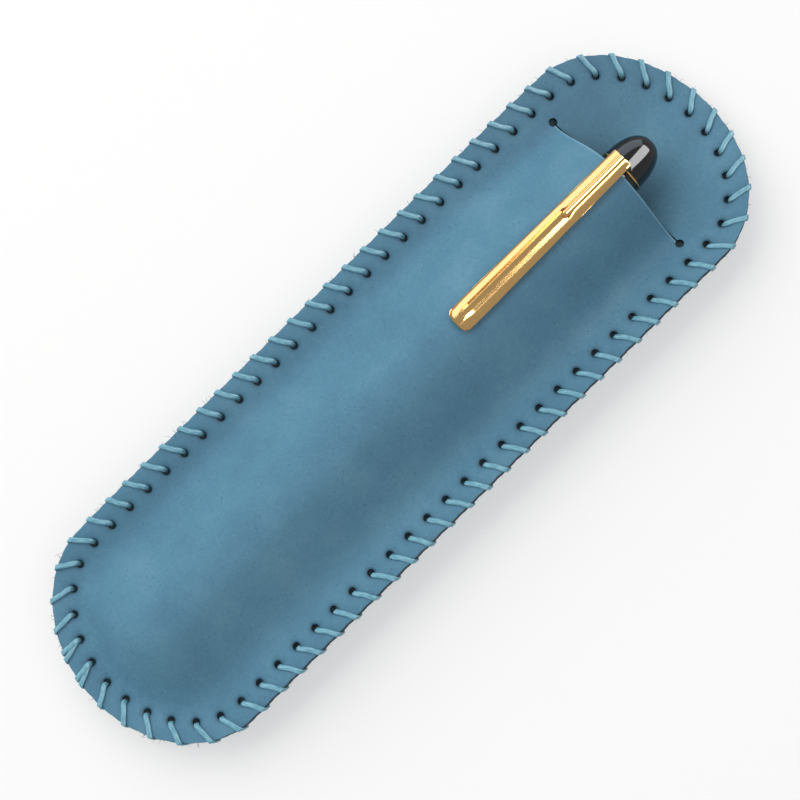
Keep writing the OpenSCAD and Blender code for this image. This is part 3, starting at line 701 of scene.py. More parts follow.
@dataclass
class LeatherPanels:
    """The two hides, meshed finely from one plan with true stitch holes, stop holes and slit."""

    form: SleeveForm
    finishes: Finishes
    spacing: float = 0.95
    edge_step: float = 0.55
    hole_sides: int = 18
    stop_hole_points: int = 24
    lip_points: int = 66
    # Rows of points inside the edge, round the holes, and below and above the slit, by distance
    edge_rows: tuple[float, ...] = (0.14, 0.4, 0.85)
    hole_rows: tuple[float, ...] = (0.2, 0.5)
    lip_rows: tuple[float, ...] = (0.14, 0.4, 0.8)
    flap_rows: tuple[float, ...] = (0.3, 0.8)
    # How far the even grid of points keeps from the edge, from the slit and from those rows
    edge_clear: float = 1.2
    slit_clear: float = 0.35
    row_clear: float = 0.42
    # A triangle is cut out if its middle lies within this share of a hole's radius
    hole_share: float = 0.98
    stop_share: float = 0.985
    rim_drop: float = 0.14
    # The hide closes on the thread at the back, so no light comes up through the holes
    closing: float = 0.08
    # The thread presses the leather from this share of the way between the hole and the edge
    press_from: float = 0.12
    stitch_reach: float = 6.5
    lip_wear_w: float = 0.45
    lip_wear: float = 0.55
    # Painted shade round the stitch holes and along the thread's grooves, as shares of the pores' colour
    hole_shade: float = 0.55
    groove_shade: float = 0.18
    sharp: float = 40.0

    def __post_init__(self) -> None:
        """Lays out the plan that both hides share."""
        self.points, self.triangles, self.loops, self.slit_loop = self.plan()

    def plan(self) -> tuple[np.ndarray, np.ndarray, list[list[int]], list[int]]:
        """Triangulates the plan with every hole and the slit as loops.

        Returns:
            Points, triangles, the loops of the outline and holes, and the slit's own loop.
        """
        form = self.form
        count = int(form.path_l / self.edge_step)
        s = np.arange(count) * form.path_l / count
        # Halfway between two stitches' wraps the edge is drawn in a little
        nearest = np.abs((s / form.pitch - form.first_stitch - 0.5) % 1 - 0.5) * form.pitch
        notch = form.pinch * np.exp(-(nearest / form.pinch_half) ** 2)
        circle = np.linspace(0, 2 * math.pi, self.hole_sides, endpoint=False)
        ring = np.stack([np.cos(circle), np.sin(circle)], 1)
        rims = [form.along(s, form.stitch_inset - notch)]
        rims += [spot + form.stitch_hole_d / 2 * ring for spot in form.hole_spots]
        stop_r = form.stop_hole_d / 2
        gap = form.slit_gap / 2
        mouth = math.asin(gap / stop_r)
        arc = np.linspace(mouth, 2 * math.pi - mouth, self.stop_hole_points)
        reach = form.slit_half - stop_r * math.cos(mouth)
        cut = np.linspace(-reach, reach, self.lip_points)[1:-1]
        bow = stop_r * np.stack([np.cos(arc), np.sin(arc)], 1)
        low = np.stack([cut, np.full(len(cut), form.slit_y - gap)], 1)
        high = np.stack([cut[::-1], np.full(len(cut), form.slit_y + gap)], 1)
        rims.append(np.concatenate([(-form.slit_half, form.slit_y) + bow, low,
                                    (form.slit_half, form.slit_y) - bow, high]))
        starts = np.cumsum([0] + [len(rim) for rim in rims])
        loops = [list(range(a, b)) for a, b in zip(starts[:-1].tolist(), starts[1:].tolist())]
        # The slit's own points come last, after every other rim's
        rows = [form.along(s, form.stitch_inset - inset - notch * math.exp(-inset))
                for inset in self.edge_rows]
        rows += [spot + (form.stitch_hole_d / 2 + r) * ring
                 for r in self.hole_rows for spot in form.hole_spots]
        rows.append(np.concatenate(
            [low + (0, -d) for d in self.lip_rows] + [high + (0, d) for d in self.flap_rows]))
        heights = np.arange(-form.half_l, form.half_l, self.spacing * math.sqrt(3) / 2)
        lattice = np.array([(x + (i % 2) * self.spacing / 2, y) for i, y in enumerate(heights)
                            for x in np.arange(-form.half_w, form.half_w, self.spacing)])
        over = np.maximum(0, np.abs(lattice[:, 1]) - form.straight)
        keep = np.hypot(lattice[:, 0] / (form.half_w - self.edge_clear),
                        over / (form.end_depth - self.edge_clear)) < 1
        keep &= np.abs(lattice[:, 1] - form.slit_y) > self.slit_clear
        lattice = lattice[keep]
        borders = np.concatenate([*rims, *rows])
        near = np.array([np.min(np.sum((borders - p) ** 2, 1)) for p in lattice])
        points = np.concatenate([borders, lattice[near > self.row_clear ** 2]])
        edges = [(a, b) for loop in loops for a, b in zip(loop, loop[1:] + loop[:1])]
        made = geometry.delaunay_2d_cdt([Vector(p) for p in points], edges, [], 0, 1e-5, False)
        assert len(made[0]) == len(points), "two of the plan's points are one"
        return np.array([tuple(v) for v in made[0]]), np.array(made[2]), loops[:-1], loops[-1]

    def stitch_marks(self, x: np.ndarray, y: np.ndarray) -> tuple[np.ndarray, np.ndarray]:
        """How deep the thread presses the leather, and how near the stitch holes lie.

        Args:
            x: places across.
            y: places along.

        Returns:
            The press, from 0 to 1, and the nearness of a hole, from 0 to 1.
        """
        form = self.form
        spot = np.stack([x, y], 1)
        press = np.zeros(len(x))
        near = np.zeros(len(x))
        for start, hole in zip(form.stitch_starts, form.hole_spots):
            close = np.abs(spot - hole).max(1) < self.stitch_reach
            here = spot[close] - hole
            rim = form.along(start + 0.5 * form.pitch, form.stitch_inset) - hole
            t = np.clip(here @ rim / (rim @ rim), self.press_from, 1)
            off = np.linalg.norm(here - t[:, None] * rim, axis=1)
            past = np.linalg.norm(here, axis=1) - form.stitch_hole_d / 2
            press[close] = np.maximum(press[close], np.exp(-(off / form.groove_half) ** 2))
            near[close] = np.maximum(near[close], np.exp(-(past / form.dimple_half) ** 2))
        return press, near

    def cut_out(self, front: bool, loops: list[list[int]]) -> np.ndarray:
        """Leaves only the triangles that are leather, all turned up.

        Args:
            front: whether the slit is cut too.
            loops: the rims that the hide has.

        Returns:
            The triangles.
        """
        form = self.form
        xy = self.points
        middle = xy[self.triangles].mean(1)
        inner_r = form.stitch_hole_d / 2 * math.cos(math.pi / self.hole_sides) * self.hole_share
        drop = np.zeros(len(self.triangles), bool)
        for hole in form.hole_spots:
            drop |= np.hypot(*(middle - hole).T) < inner_r
        if front:
            off = middle - (0, form.slit_y)
            drop |= (np.abs(off[:, 1]) < form.slit_gap / 2) & (np.abs(off[:, 0]) < form.slit_half)
            for side in (-1, 1):
                away = np.hypot(off[:, 0] - side * form.slit_half, off[:, 1])
                drop |= away < form.stop_hole_d / 2 * self.stop_share
        owner = np.full(len(xy), -1)
        for k, spots in enumerate(loops):
            owner[spots] = k
        same = owner[self.triangles]
        # What joins three points of one loop fills a notch of the rim or a sliver of a hole
        drop |= (same[:, 0] >= 0) & (same[:, 0] == same[:, 1]) & (same[:, 1] == same[:, 2])
        left = self.triangles[~drop]
        flip = np.cross(xy[left[:, 1]] - xy[left[:, 0]], xy[left[:, 2]] - xy[left[:, 0]]) < 0
        left[flip] = left[flip][:, ::-1]
        return left

    def panel(self, name: str, front: bool) -> bpy.types.Object:
        """Makes one hide.

        Args:
            name: the piece's name.
            front: whether it is the front, with the slit and the bulge.

        Returns:
            The hide.
        """
        form = self.form
        loops = self.loops + ([self.slit_loop] if front else [])
        triangles = self.cut_out(front, loops)
        xy = self.points.copy()
        if not front:
            for spot, ring in zip(form.hole_spots, loops[1:]):
                xy[ring] = spot + self.closing * (xy[ring] - spot)
        x, y = xy.T
        count = len(x)
        below = y < form.slit_y
        low = form.front(x, y, below) if front else form.back(x, y)
        press, near = self.stitch_marks(x, y)
        rim = np.zeros(count)
        for spots in loops:
            rim[spots] = 1
        # Both faces give way under the thread by the same amount, outwards from the seam
        give = form.groove_depth * press + form.dimple * near + self.rim_drop * rim
        top = low + form.leather_t - (give if front else self.rim_drop * rim)
        low = low + (0 if front else give)
        points = np.concatenate([np.stack([x, y, low], 1), np.stack([x, y, top], 1)])
        faces = [tuple(t[::-1]) for t in triangles] + [tuple(t + count) for t in triangles]
        grain, edge, flesh = 0, 1, 2
        kinds = [flesh if front else grain] * len(triangles) + [grain if front else flesh] * len(triangles)
        for spots in loops:
            ring = spots if self.turns_left(xy[spots]) == (spots is loops[0]) else spots[::-1]
            faces += [(a, b, b + count, a + count) for a, b in zip(ring, ring[1:] + ring[:1])]
            kinds += [edge] * len(ring)
        piece = new_piece(name, points, faces, self.finishes.by_slot[Slot.LEATHER], self.finishes.edge,
                          self.finishes.flesh)
        piece.data.polygons.foreach_set("material_index", kinds)
        worn = np.zeros(count)
        if front:
            worn[below & (np.abs(x) < form.slit_half) & (y > form.slit_y - self.lip_wear_w)] = self.lip_wear
        # Painted shade round the stitch holes and along the thread's grooves
        stitch_shade = np.clip(self.hole_shade * near + self.groove_shade * press, 0, 1)
        for label, values in (("worn", worn), ("stitch_shade", stitch_shade)):
            data = piece.data.attributes.new(label, "FLOAT", "POINT").data
            data.foreach_set("value", np.tile(values, 2).astype(np.float32))
        Modeller.shade(piece, self.sharp)
        return piece

    @staticmethod
    def turns_left(spots: np.ndarray) -> bool:
        """Whether a closed line runs anticlockwise."""
        x, y = spots.T
        return float(np.sum(x * np.roll(y, -1) - np.roll(x, -1) * y)) > 0

    def build(self) -> None:
        for node, front in (("back_panel", False), ("front_panel", True)):
            hide = self.panel(f"{node}_hide", front)
            place_piece(hide, Body.SLEEVE, Slot.LEATHER, node)


@dataclass
class WhipStitching:
    """The one flat thread that binds the edge, with the doubled strands that lock its ends."""

    form: SleeveForm
    finishes: Finishes
    width: float = 1.02
    thickness: float = 0.42
    sides: int = 10
    # Below 1 the section is squarer than an ellipse
    squareness: float = 0.75
    clearance: float = 0.05
    wander: float = 0.12
    # U's whole span round the thread, in millimetres
    girth: float = 3.0
    # Places of the holes where the thread's ends are locked
    locks: tuple[tuple[float, float], ...] = ((-10.1, -77.0), (-5.5, -78.4))

    def __post_init__(self) -> None:
        """Works out how high the thread's middle lies over the leather."""
        self.rise = self.thickness / 2 + self.clearance

    def lay(self, start: float, steps: Sequence[Step]) -> list[tuple[float, float, float]]:
        """Lays points over the leather.

        Args:
            start: where they start along the hole line.
            steps: the points' places from there.

        Returns:
            The points.
        """
        points = []
        for ahead, outside, side, rise in steps:
            x, y = self.form.along(start + ahead, outside)
            points.append((x, y, float(self.level(x, y, side) + rise)))
        return points

    def level(self, x: float, y: float, side: int) -> float:
        """Height of the leather's underside, its seam or its front, for a side of 0, 1 or 2."""
        return self.form.back(x, y) + side * (self.form.leather_t + self.form.panel_gap / 2)

    def route(self) -> np.ndarray:
        """Works out the thread's middle line, up through a hole, over the edge and back below to the next.

        Returns:
            The line's points.
        """
        form = self.form
        draw = np.random.default_rng(SEED)
        rise = self.rise
        seat = rise - form.groove_depth
        lap = form.pitch / 2
        inset = form.stitch_inset
        points = []
        for start in form.stitch_starts:
            slip, lean = draw.normal(0, self.wander, 2)
            points += self.lay(start, [
                (0.0, 0.3, 0, 0.25), (0.0, 0.34, 1, 0.0), (0.0, 0.38, 2, -0.35),
                (0.16, 0.86, 2, seat + 0.02), (0.5 * lap + 0.5 * slip, 0.55 * inset, 2, seat),
                (0.86 * lap + slip, inset + 0.02, 2, seat), (0.97 * lap + slip, inset + rise, 2, -0.05),
                (1.03 * lap + slip, inset + rise, 0, 0.05), (1.14 * lap + slip, inset + 0.02, 0, -seat),
                (1.5 * lap + lean, 0.55 * inset, 0, -seat), (form.pitch - 0.22, 0.62, 0, -seat - 0.02),
            ])
        return np.array(points)

    def lock_lines(self) -> list[np.ndarray]:
        """Works out the second strands where the thread's ends are locked, from a hole over the edge.

        Returns:
            The strands' middle lines.
        """
        form = self.form
        inset, rise, lap = form.stitch_inset, self.rise, form.pitch / 2
        lines = []
        for spot in self.locks:
            away = np.linalg.norm(form.hole_spots - spot, axis=1)
            lines.append(self.round_off(np.array(self.lay(form.stitch_starts[int(away.argmin())], [
                (0.0, 0.36, 2, -0.7), (0.0, 0.4, 2, -0.25), (0.02 * lap, 0.86, 2, rise),
                (0.2 * lap, 0.5 * inset, 2, rise - 0.03), (0.4 * lap, inset - 0.1, 2, rise - 0.08),
                (0.46 * lap, inset + rise, 2, -0.1), (0.48 * lap, inset + rise, 0, 0.1),
                (0.5 * lap, inset - 0.1, 0, -rise), (0.5 * lap, inset - 1.0, 0, -rise),
            ])), 3))
        return lines

    @staticmethod
    def round_off(points: np.ndarray, passes: int) -> np.ndarray:
        """Cuts the corners of a line that many times."""
        for _ in range(passes):
            a, b = points[:-1], points[1:]
            cut = np.stack([0.75 * a + 0.25 * b, 0.25 * a + 0.75 * b], 1).reshape(-1, 3)
            points = np.concatenate([points[:1], cut, points[-1:]])
        return points

    def strand(self, name: str, lines: Sequence[np.ndarray]) -> bpy.types.Object:
        """Sweeps the flat section along lines.

        Args:
            name: the piece's name.
            lines: middle lines of the strands, in millimetres.

        Returns:
            The thread.
        """
        turn = np.linspace(0, 2 * math.pi, self.sides, endpoint=False)
        across, up = (size / 2 * np.sign(wave) * np.abs(wave) ** self.squareness
                      for size, wave in ((self.width, np.cos(turn)), (self.thickness, np.sin(turn))))
        points, faces, uv = [], [], []
        for line in lines:
            way = unit(np.gradient(line, axis=0))
            out = self.form.outward(line)
            edge_way = np.stack([-out[:, 1], out[:, 0], np.zeros(len(line))], 1)
            side = unit(edge_way - np.sum(edge_way * way, 1)[:, None] * way)
            lift = np.cross(way, side)
            rings = line[:, None] + across[None, :, None] * side[:, None] + up[None, :, None] * lift[:, None]
            faces += tube_faces(sum(map(len, points)), len(line), self.sides, clockwise=True)
            points.append(rings.reshape(-1, 3))
            run = np.append(0, np.cumsum(np.linalg.norm(np.diff(line, axis=0), axis=1)))
            for v, next_v in zip(run[:-1], run[1:]):
                for k in range(self.sides):
                    u, next_u = k / self.sides * self.girth, (k + 1) / self.sides * self.girth
                    uv += [(u, v), (u, next_v), (next_u, next_v), (next_u, v)]
            uv += [(0.0, 0.0)] * (2 * self.sides)
        piece = new_piece(name, np.concatenate(points), faces, self.finishes.by_slot[Slot.THREAD])
        piece.data.uv_layers.new(name="UVMap").data.foreach_set("uv", np.array(uv, np.float32).ravel())
        piece.data.polygons.foreach_set("use_smooth", [True] * len(faces))
        return piece

    def build(self) -> None:
        """Makes the long thread and the strands that lock its ends."""
        thread = self.strand("whip_stitch_thread", [self.round_off(self.route(), 2)])
        place_piece(thread, Body.SLEEVE, Slot.THREAD, "edge_thread")
        place_piece(self.strand("lock_strands", self.lock_lines()), Body.SLEEVE, Slot.THREAD)


@dataclass
class EdgeFibres:
    """The stray fibres that stand out of the cut edge."""

    stitching: WhipStitching
    finishes: Finishes
    count: int = 170
    radius: float = 0.045
    taper: float = 0.6
    joints: int = 4
    root_depth: float = 0.1

    def build(self) -> None:
        """Makes the fibres as one piece: each a three-sided thread that bends away and thins."""
        form = self.stitching.form
        draw = np.random.default_rng(SEED + 1)
        points, faces = [], []
        for _ in range(self.count):
            s = draw.uniform(0, form.stitch_count * form.pitch)
            root, ahead = (form.along(at, form.stitch_inset - self.root_depth) for at in (s, s + 0.5))
            way = unit(ahead - root)
            out = unit(root - form.along(s, 0.0))
            lean, climb = draw.uniform(-1, 1), draw.uniform(-0.3, 0.9)
            long = draw.uniform(0.25, 1.1)
            height = float(self.stitching.level(root[0], root[1], 2)) - draw.uniform(0.1, 1.2)
            faces += tube_faces(len(points), self.joints, 3)
            for share in np.linspace(0, 1, self.joints):
                x, y = root + (out * share + way * lean * share ** 2) * long
                thin = self.radius * (1 - self.taper * share)
                for turn in (0.0, 2.1, 4.2):
                    x_way, y_way = way * math.cos(turn) * thin
                    z = height + climb * long * share ** 2 + math.sin(turn) * thin
                    points.append((x + x_way, y + y_way, z))
        place_piece(new_piece("edge_fibres", points, faces, self.finishes.edge), Body.SLEEVE, Slot.LEATHER)


@dataclass
class PenForm:
    """The pen's sizes and curves along its own axis, from its tail, as in the CAD model."""

    sleeve: SleeveForm
    ring_above_slit: float = 1.4
    ring_t: float = 0.4
    crown_h: float = 7.8
    crown_r: float = 4.625
    crown_power: float = 2.3
    cap_l: float = 64.5
    cap_top_r: float = 4.7
    cap_bore_r: float = 4.85
    cap_power: float = 1.3
    lip_gap: float = 0.1
    barrel_r: float = 5.4
    tail_r: float = 3.5
    barrel_power: float = 2.4
    tail_button_l: float = 3.0
    tail_ring_t: float = 0.8
    tail_bore_r: float = 1.15
    tail_bore_l: float = 3.0
    air_way_r: float = 0.4
    band_l: float = 3.2
    band_from_lip: float = 1.0
    seat_depth: float = 0.35
    seat_gap: float = 0.03
    stud_r: float = 2.3
    roof_t: float = 3.0
    inner_cap_r: float = 3.9
    inner_cap_play: float = 3.0
    barrel_bore_r: float = 4.1
    section_r: float = 4.4
    section_nose_r: float = 3.6
    section_l: float = 20.0
    section_foot_l: float = 9.0
    section_ring_t: float = 1.2
    section_power: float = 0.8
    feed_r: float = 2.43
    nib_r: float = 2.81
    nib_foot_l: float = 7.0
    ink_way_l: float = 6.0
    ink_way_r: float = 0.6
    bore_from: float = 24.54
    riser_t: float = 1.6

    def __post_init__(self) -> None:
        """Works out the places along the axis."""
        sleeve = self.sleeve
        self.cap_lip_r, self.ring_proud = sleeve.cap_lip_r, sleeve.ring_proud
        slit_at = (sleeve.slit_y - sleeve.tail_y) / math.cos(math.radians(sleeve.pen_tilt))
        self.ring_at = slit_at + self.ring_above_slit
        self.crown_at = self.ring_at + self.ring_t
        self.foot_at = self.ring_at + self.ring_t / 2
        self.lip_at = self.crown_at + self.crown_h - self.cap_l
        self.barrel_end = self.lip_at - self.lip_gap
        self.section_end = self.barrel_end + self.section_l
        self.band_at = self.lip_at + self.band_from_lip
        self.roof_at = self.ring_at - self.roof_t
        self.inner_cap_at = self.section_end + self.inner_cap_play
        self.nib_from = self.section_end - self.nib_foot_l
        self.feed_from = self.barrel_end - self.section_foot_l + self.ink_way_l

    def place(self) -> Matrix:
        """Where the pen's axis lies: local Z runs along it from the tail, and local Y points up."""
        return (Matrix.Translation((0, self.sleeve.tail_y * MM, self.sleeve.tail_height * MM))
                @ Matrix.Rotation(math.pi, 4, "Z")
                @ Matrix.Rotation(math.radians(90 - self.sleeve.pen_tilt), 4, "X"))

    def barrel_radius(self, z: float) -> float:
        """Radius of the barrel at a distance from its tail."""
        t = 1 - min(1, z / self.lip_at)
        return self.tail_r + (self.barrel_r - self.tail_r) * (1 - t ** self.barrel_power)

    def section_radius(self, z: float) -> float:
        """Radius of the section at a distance from the tail."""
        t = max(0, (z - self.barrel_end) / self.section_l)
        return self.section_r - (self.section_r - self.section_nose_r) * t ** self.section_power

    def cap_radius(self, z: float) -> float:
        """Radius of the cap at a distance from the tail."""
        t = max(0, (z - self.lip_at) / (self.ring_at - self.lip_at))
        return self.cap_lip_r - (self.cap_lip_r - self.cap_top_r) * t ** self.cap_power


@dataclass
class PenBody:
    """The turned pieces, which the leather hides or half hides: crown, rings, cap, band, barrel and tail."""

    form: PenForm
    finishes: Finishes
    sides: int = 96
    dome_sides: int = 128
    dome_rings: int = 40
    dome_foot_ease: float = 0.12
    button_rings: int = 16
    # Edges sharper than these stay sharp on a dome, a shell and a band, in degrees
    dome_sharp: float = 50.0
    shell_sharp: float = 30.0
    band_sharp: float = 40.0
    band_ease: float = 0.1
    band_crown: float = 0.02
    soft: float = 0.05
    lip_ease: float = 0.15

    def turn(self, name: str, node: str, profile: Profile, body: Body, slot: Slot = Slot.RESIN,
             sharp: float = 0.0, sides: int = 0) -> None:
        """Turns a piece from its profile, dresses it and hangs it.

        Args:
            name: the piece's name.
            node: the CAD node that it replaces.
            profile: height and radius of each ring.
            body: what it rides on.
            slot: the record's slot of its finish.
            sharp: edges sharper than this stay sharp; a shell's where it isn't given.
            sides: points round it, where they aren't the usual ones.
        """
        piece = Modeller.turned(name, profile, sides or self.sides)
        Modeller.finish(piece, self.finishes.by_slot[slot], self.form.place(), sharp or self.shell_sharp)
        place_piece(piece, body, slot, node)

    def band(self, name: str, node: str, start: float, end: float, radius: float, inner: float,
             body: Body) -> None:
        """Turns a gold band with a crowned face and eased edges.

        Args:
            name: the piece's name.
            node: the CAD node that it replaces.
            start: its lower end along the axis.
            end: its upper end.
            radius: its outer radius.
            inner: its bore's radius.
            body: what it rides on.
        """
        ease = min(self.band_ease, (end - start) / 4)
        corner = [(0.0, ease), (0.3 * ease, 0.3 * ease), (ease, 0.0)]
        self.turn(name, node, [
            (start, inner), *[(start + up, radius - down) for up, down in corner],
            ((start + end) / 2, radius + self.band_crown),
            *[(end - up, radius - down) for up, down in corner[::-1]], (end, inner), (start, inner),
        ], body, Slot.GOLD, self.band_sharp)

    def crown(self) -> None:
        """Turns the crown's dome, closed under, from its eased foot to its pole."""
        form = self.form
        base, height, radius, power = form.crown_at, form.crown_h, form.crown_r, form.crown_power
        soft = self.dome_foot_ease
        profile = [(base, 0.0), (base, radius - 2 * soft), (base + 0.3 * soft, radius - 0.6 * soft),
                   (base + soft, radius)]
        ends = [math.sin(math.pi / 2 * k / self.dome_rings) for k in range(1, self.dome_rings + 1)]
        profile += [(base + height * t, radius * max(0, 1 - t ** power) ** (1 / power))
                    for t in ends if height * t > 2 * soft]
        self.turn("crown_dome", "cap_crown", profile, Body.CAP, sharp=self.dome_sharp, sides=self.dome_sides)

    def cap(self) -> None:
        """Turns the cap with its eased lip, its band's seat and its bores, and the gold band."""
        form, soft, ease = self.form, self.soft, self.lip_ease
        start, end = form.band_at, form.band_at + form.band_l
        lip, lip_r, top = form.lip_at, form.cap_lip_r, form.ring_at
        seat = form.cap_radius(end) - form.seat_depth
        outer = [(lip, form.cap_bore_r), (lip, lip_r - ease), (lip + soft, lip_r - soft), (lip + ease, lip_r),
                 (start, form.cap_radius(start)), (start, seat), (end, seat), (end, form.cap_radius(end))]
        outer += [(z, form.cap_radius(z)) for z in np.linspace(end, top - soft, 60)[1:]]
        inner = [(top, form.cap_radius(top) - soft), (top, form.stud_r), (form.roof_at, form.stud_r),
                 (form.roof_at, form.inner_cap_r), (form.inner_cap_at, form.inner_cap_r),
                 (form.inner_cap_at, form.cap_bore_r)]
        self.turn("resin_cap", "cap_tube", [*outer, *inner, outer[0]], Body.CAP)
        self.band("cap_gold_band", "cap_band", start + form.seat_gap, end - form.seat_gap,
                  form.cap_radius(start) + form.ring_proud - soft, seat + form.seat_gap, Body.CAP)

    def barrel(self) -> None:
        """Turns the barrel's long curve, its mouth and its bore."""
        form, end = self.form, self.form.barrel_end
        start = form.tail_button_l + form.tail_ring_t
        outer = [(start, form.tail_bore_r)]
        outer += [(z, form.barrel_radius(z)) for z in np.linspace(start, end - 0.2, 70)]
        outer += [(end - self.soft, form.barrel_r - self.soft), (end, form.barrel_r - 0.2)]
        foot = start + form.tail_bore_l
        inner = [(end, form.barrel_bore_r), (form.bore_from, form.barrel_bore_r),
                 (form.bore_from, form.air_way_r), (foot, form.air_way_r), (foot, form.tail_bore_r)]
        self.turn("resin_barrel", "barrel", [*outer, *inner, outer[0]], Body.BARREL)

    def section(self) -> None:
        """Turns the section, waisted for the fingers, and its gold ring."""
        form, ease = self.form, self.lip_ease
        start, end = form.barrel_end, form.section_end
        ring = end - form.section_ring_t
        foot = start - form.section_foot_l
        radius = form.section_radius
        seat = radius(ring) - form.seat_depth
        spigot_r = form.barrel_bore_r - form.seat_gap
        outer = [(foot, form.ink_way_r), (foot, spigot_r), (start, spigot_r), (start, radius(start) - ease),
                 (start + ease, radius(start + ease))]
        outer += [(z, radius(z)) for z in np.linspace(start + 0.6, ring, 40)] + [(ring, seat), (end, seat)]
        inner = [(end, form.nib_r), (form.nib_from, form.nib_r), (form.nib_from, form.feed_r),
                 (form.feed_from, form.feed_r), (form.feed_from, form.ink_way_r)]
        self.turn("resin_section", "grip_section", [*outer, *inner, outer[0]], Body.BARREL)
        self.band("section_gold_ring", "section_ring", ring + form.seat_gap, end,
                  form.section_nose_r + form.ring_proud, seat + form.seat_gap, Body.BARREL)

    def tail(self) -> None:
        """Turns the tail's button and its ring."""
        form, tall = self.form, self.form.tail_button_l
        profile = [(0.0, 0.0)]
        for k in range(1, self.button_rings + 1):
            z = tall * (1 - math.cos(math.pi / 2 * k / self.button_rings))
            profile.append((z, form.barrel_radius(tall) * math.sqrt(max(0, 1 - (1 - z / tall) ** 2))))
        profile += [(tall, 1.0), (tall, 0.0)]
        self.turn("tail_button_dome", "tail_button", profile, Body.BARREL, sharp=self.dome_sharp)
        end = tall + form.tail_ring_t
        self.band("tail_gold_ring", "tail_ring", tall, end, form.barrel_radius(end) + form.ring_proud,
                  form.tail_bore_r, Body.BARREL)

    def build(self) -> None:
        """Makes every turned piece that stands for a node."""
        form = self.form
        self.crown()
        self.cap()
        self.barrel()
        self.section()
        self.band("clip_gold_ring", "clip_ring", form.ring_at, form.crown_at,
                  form.cap_top_r + form.ring_proud, form.stud_r, Body.CAP)
        self.tail()


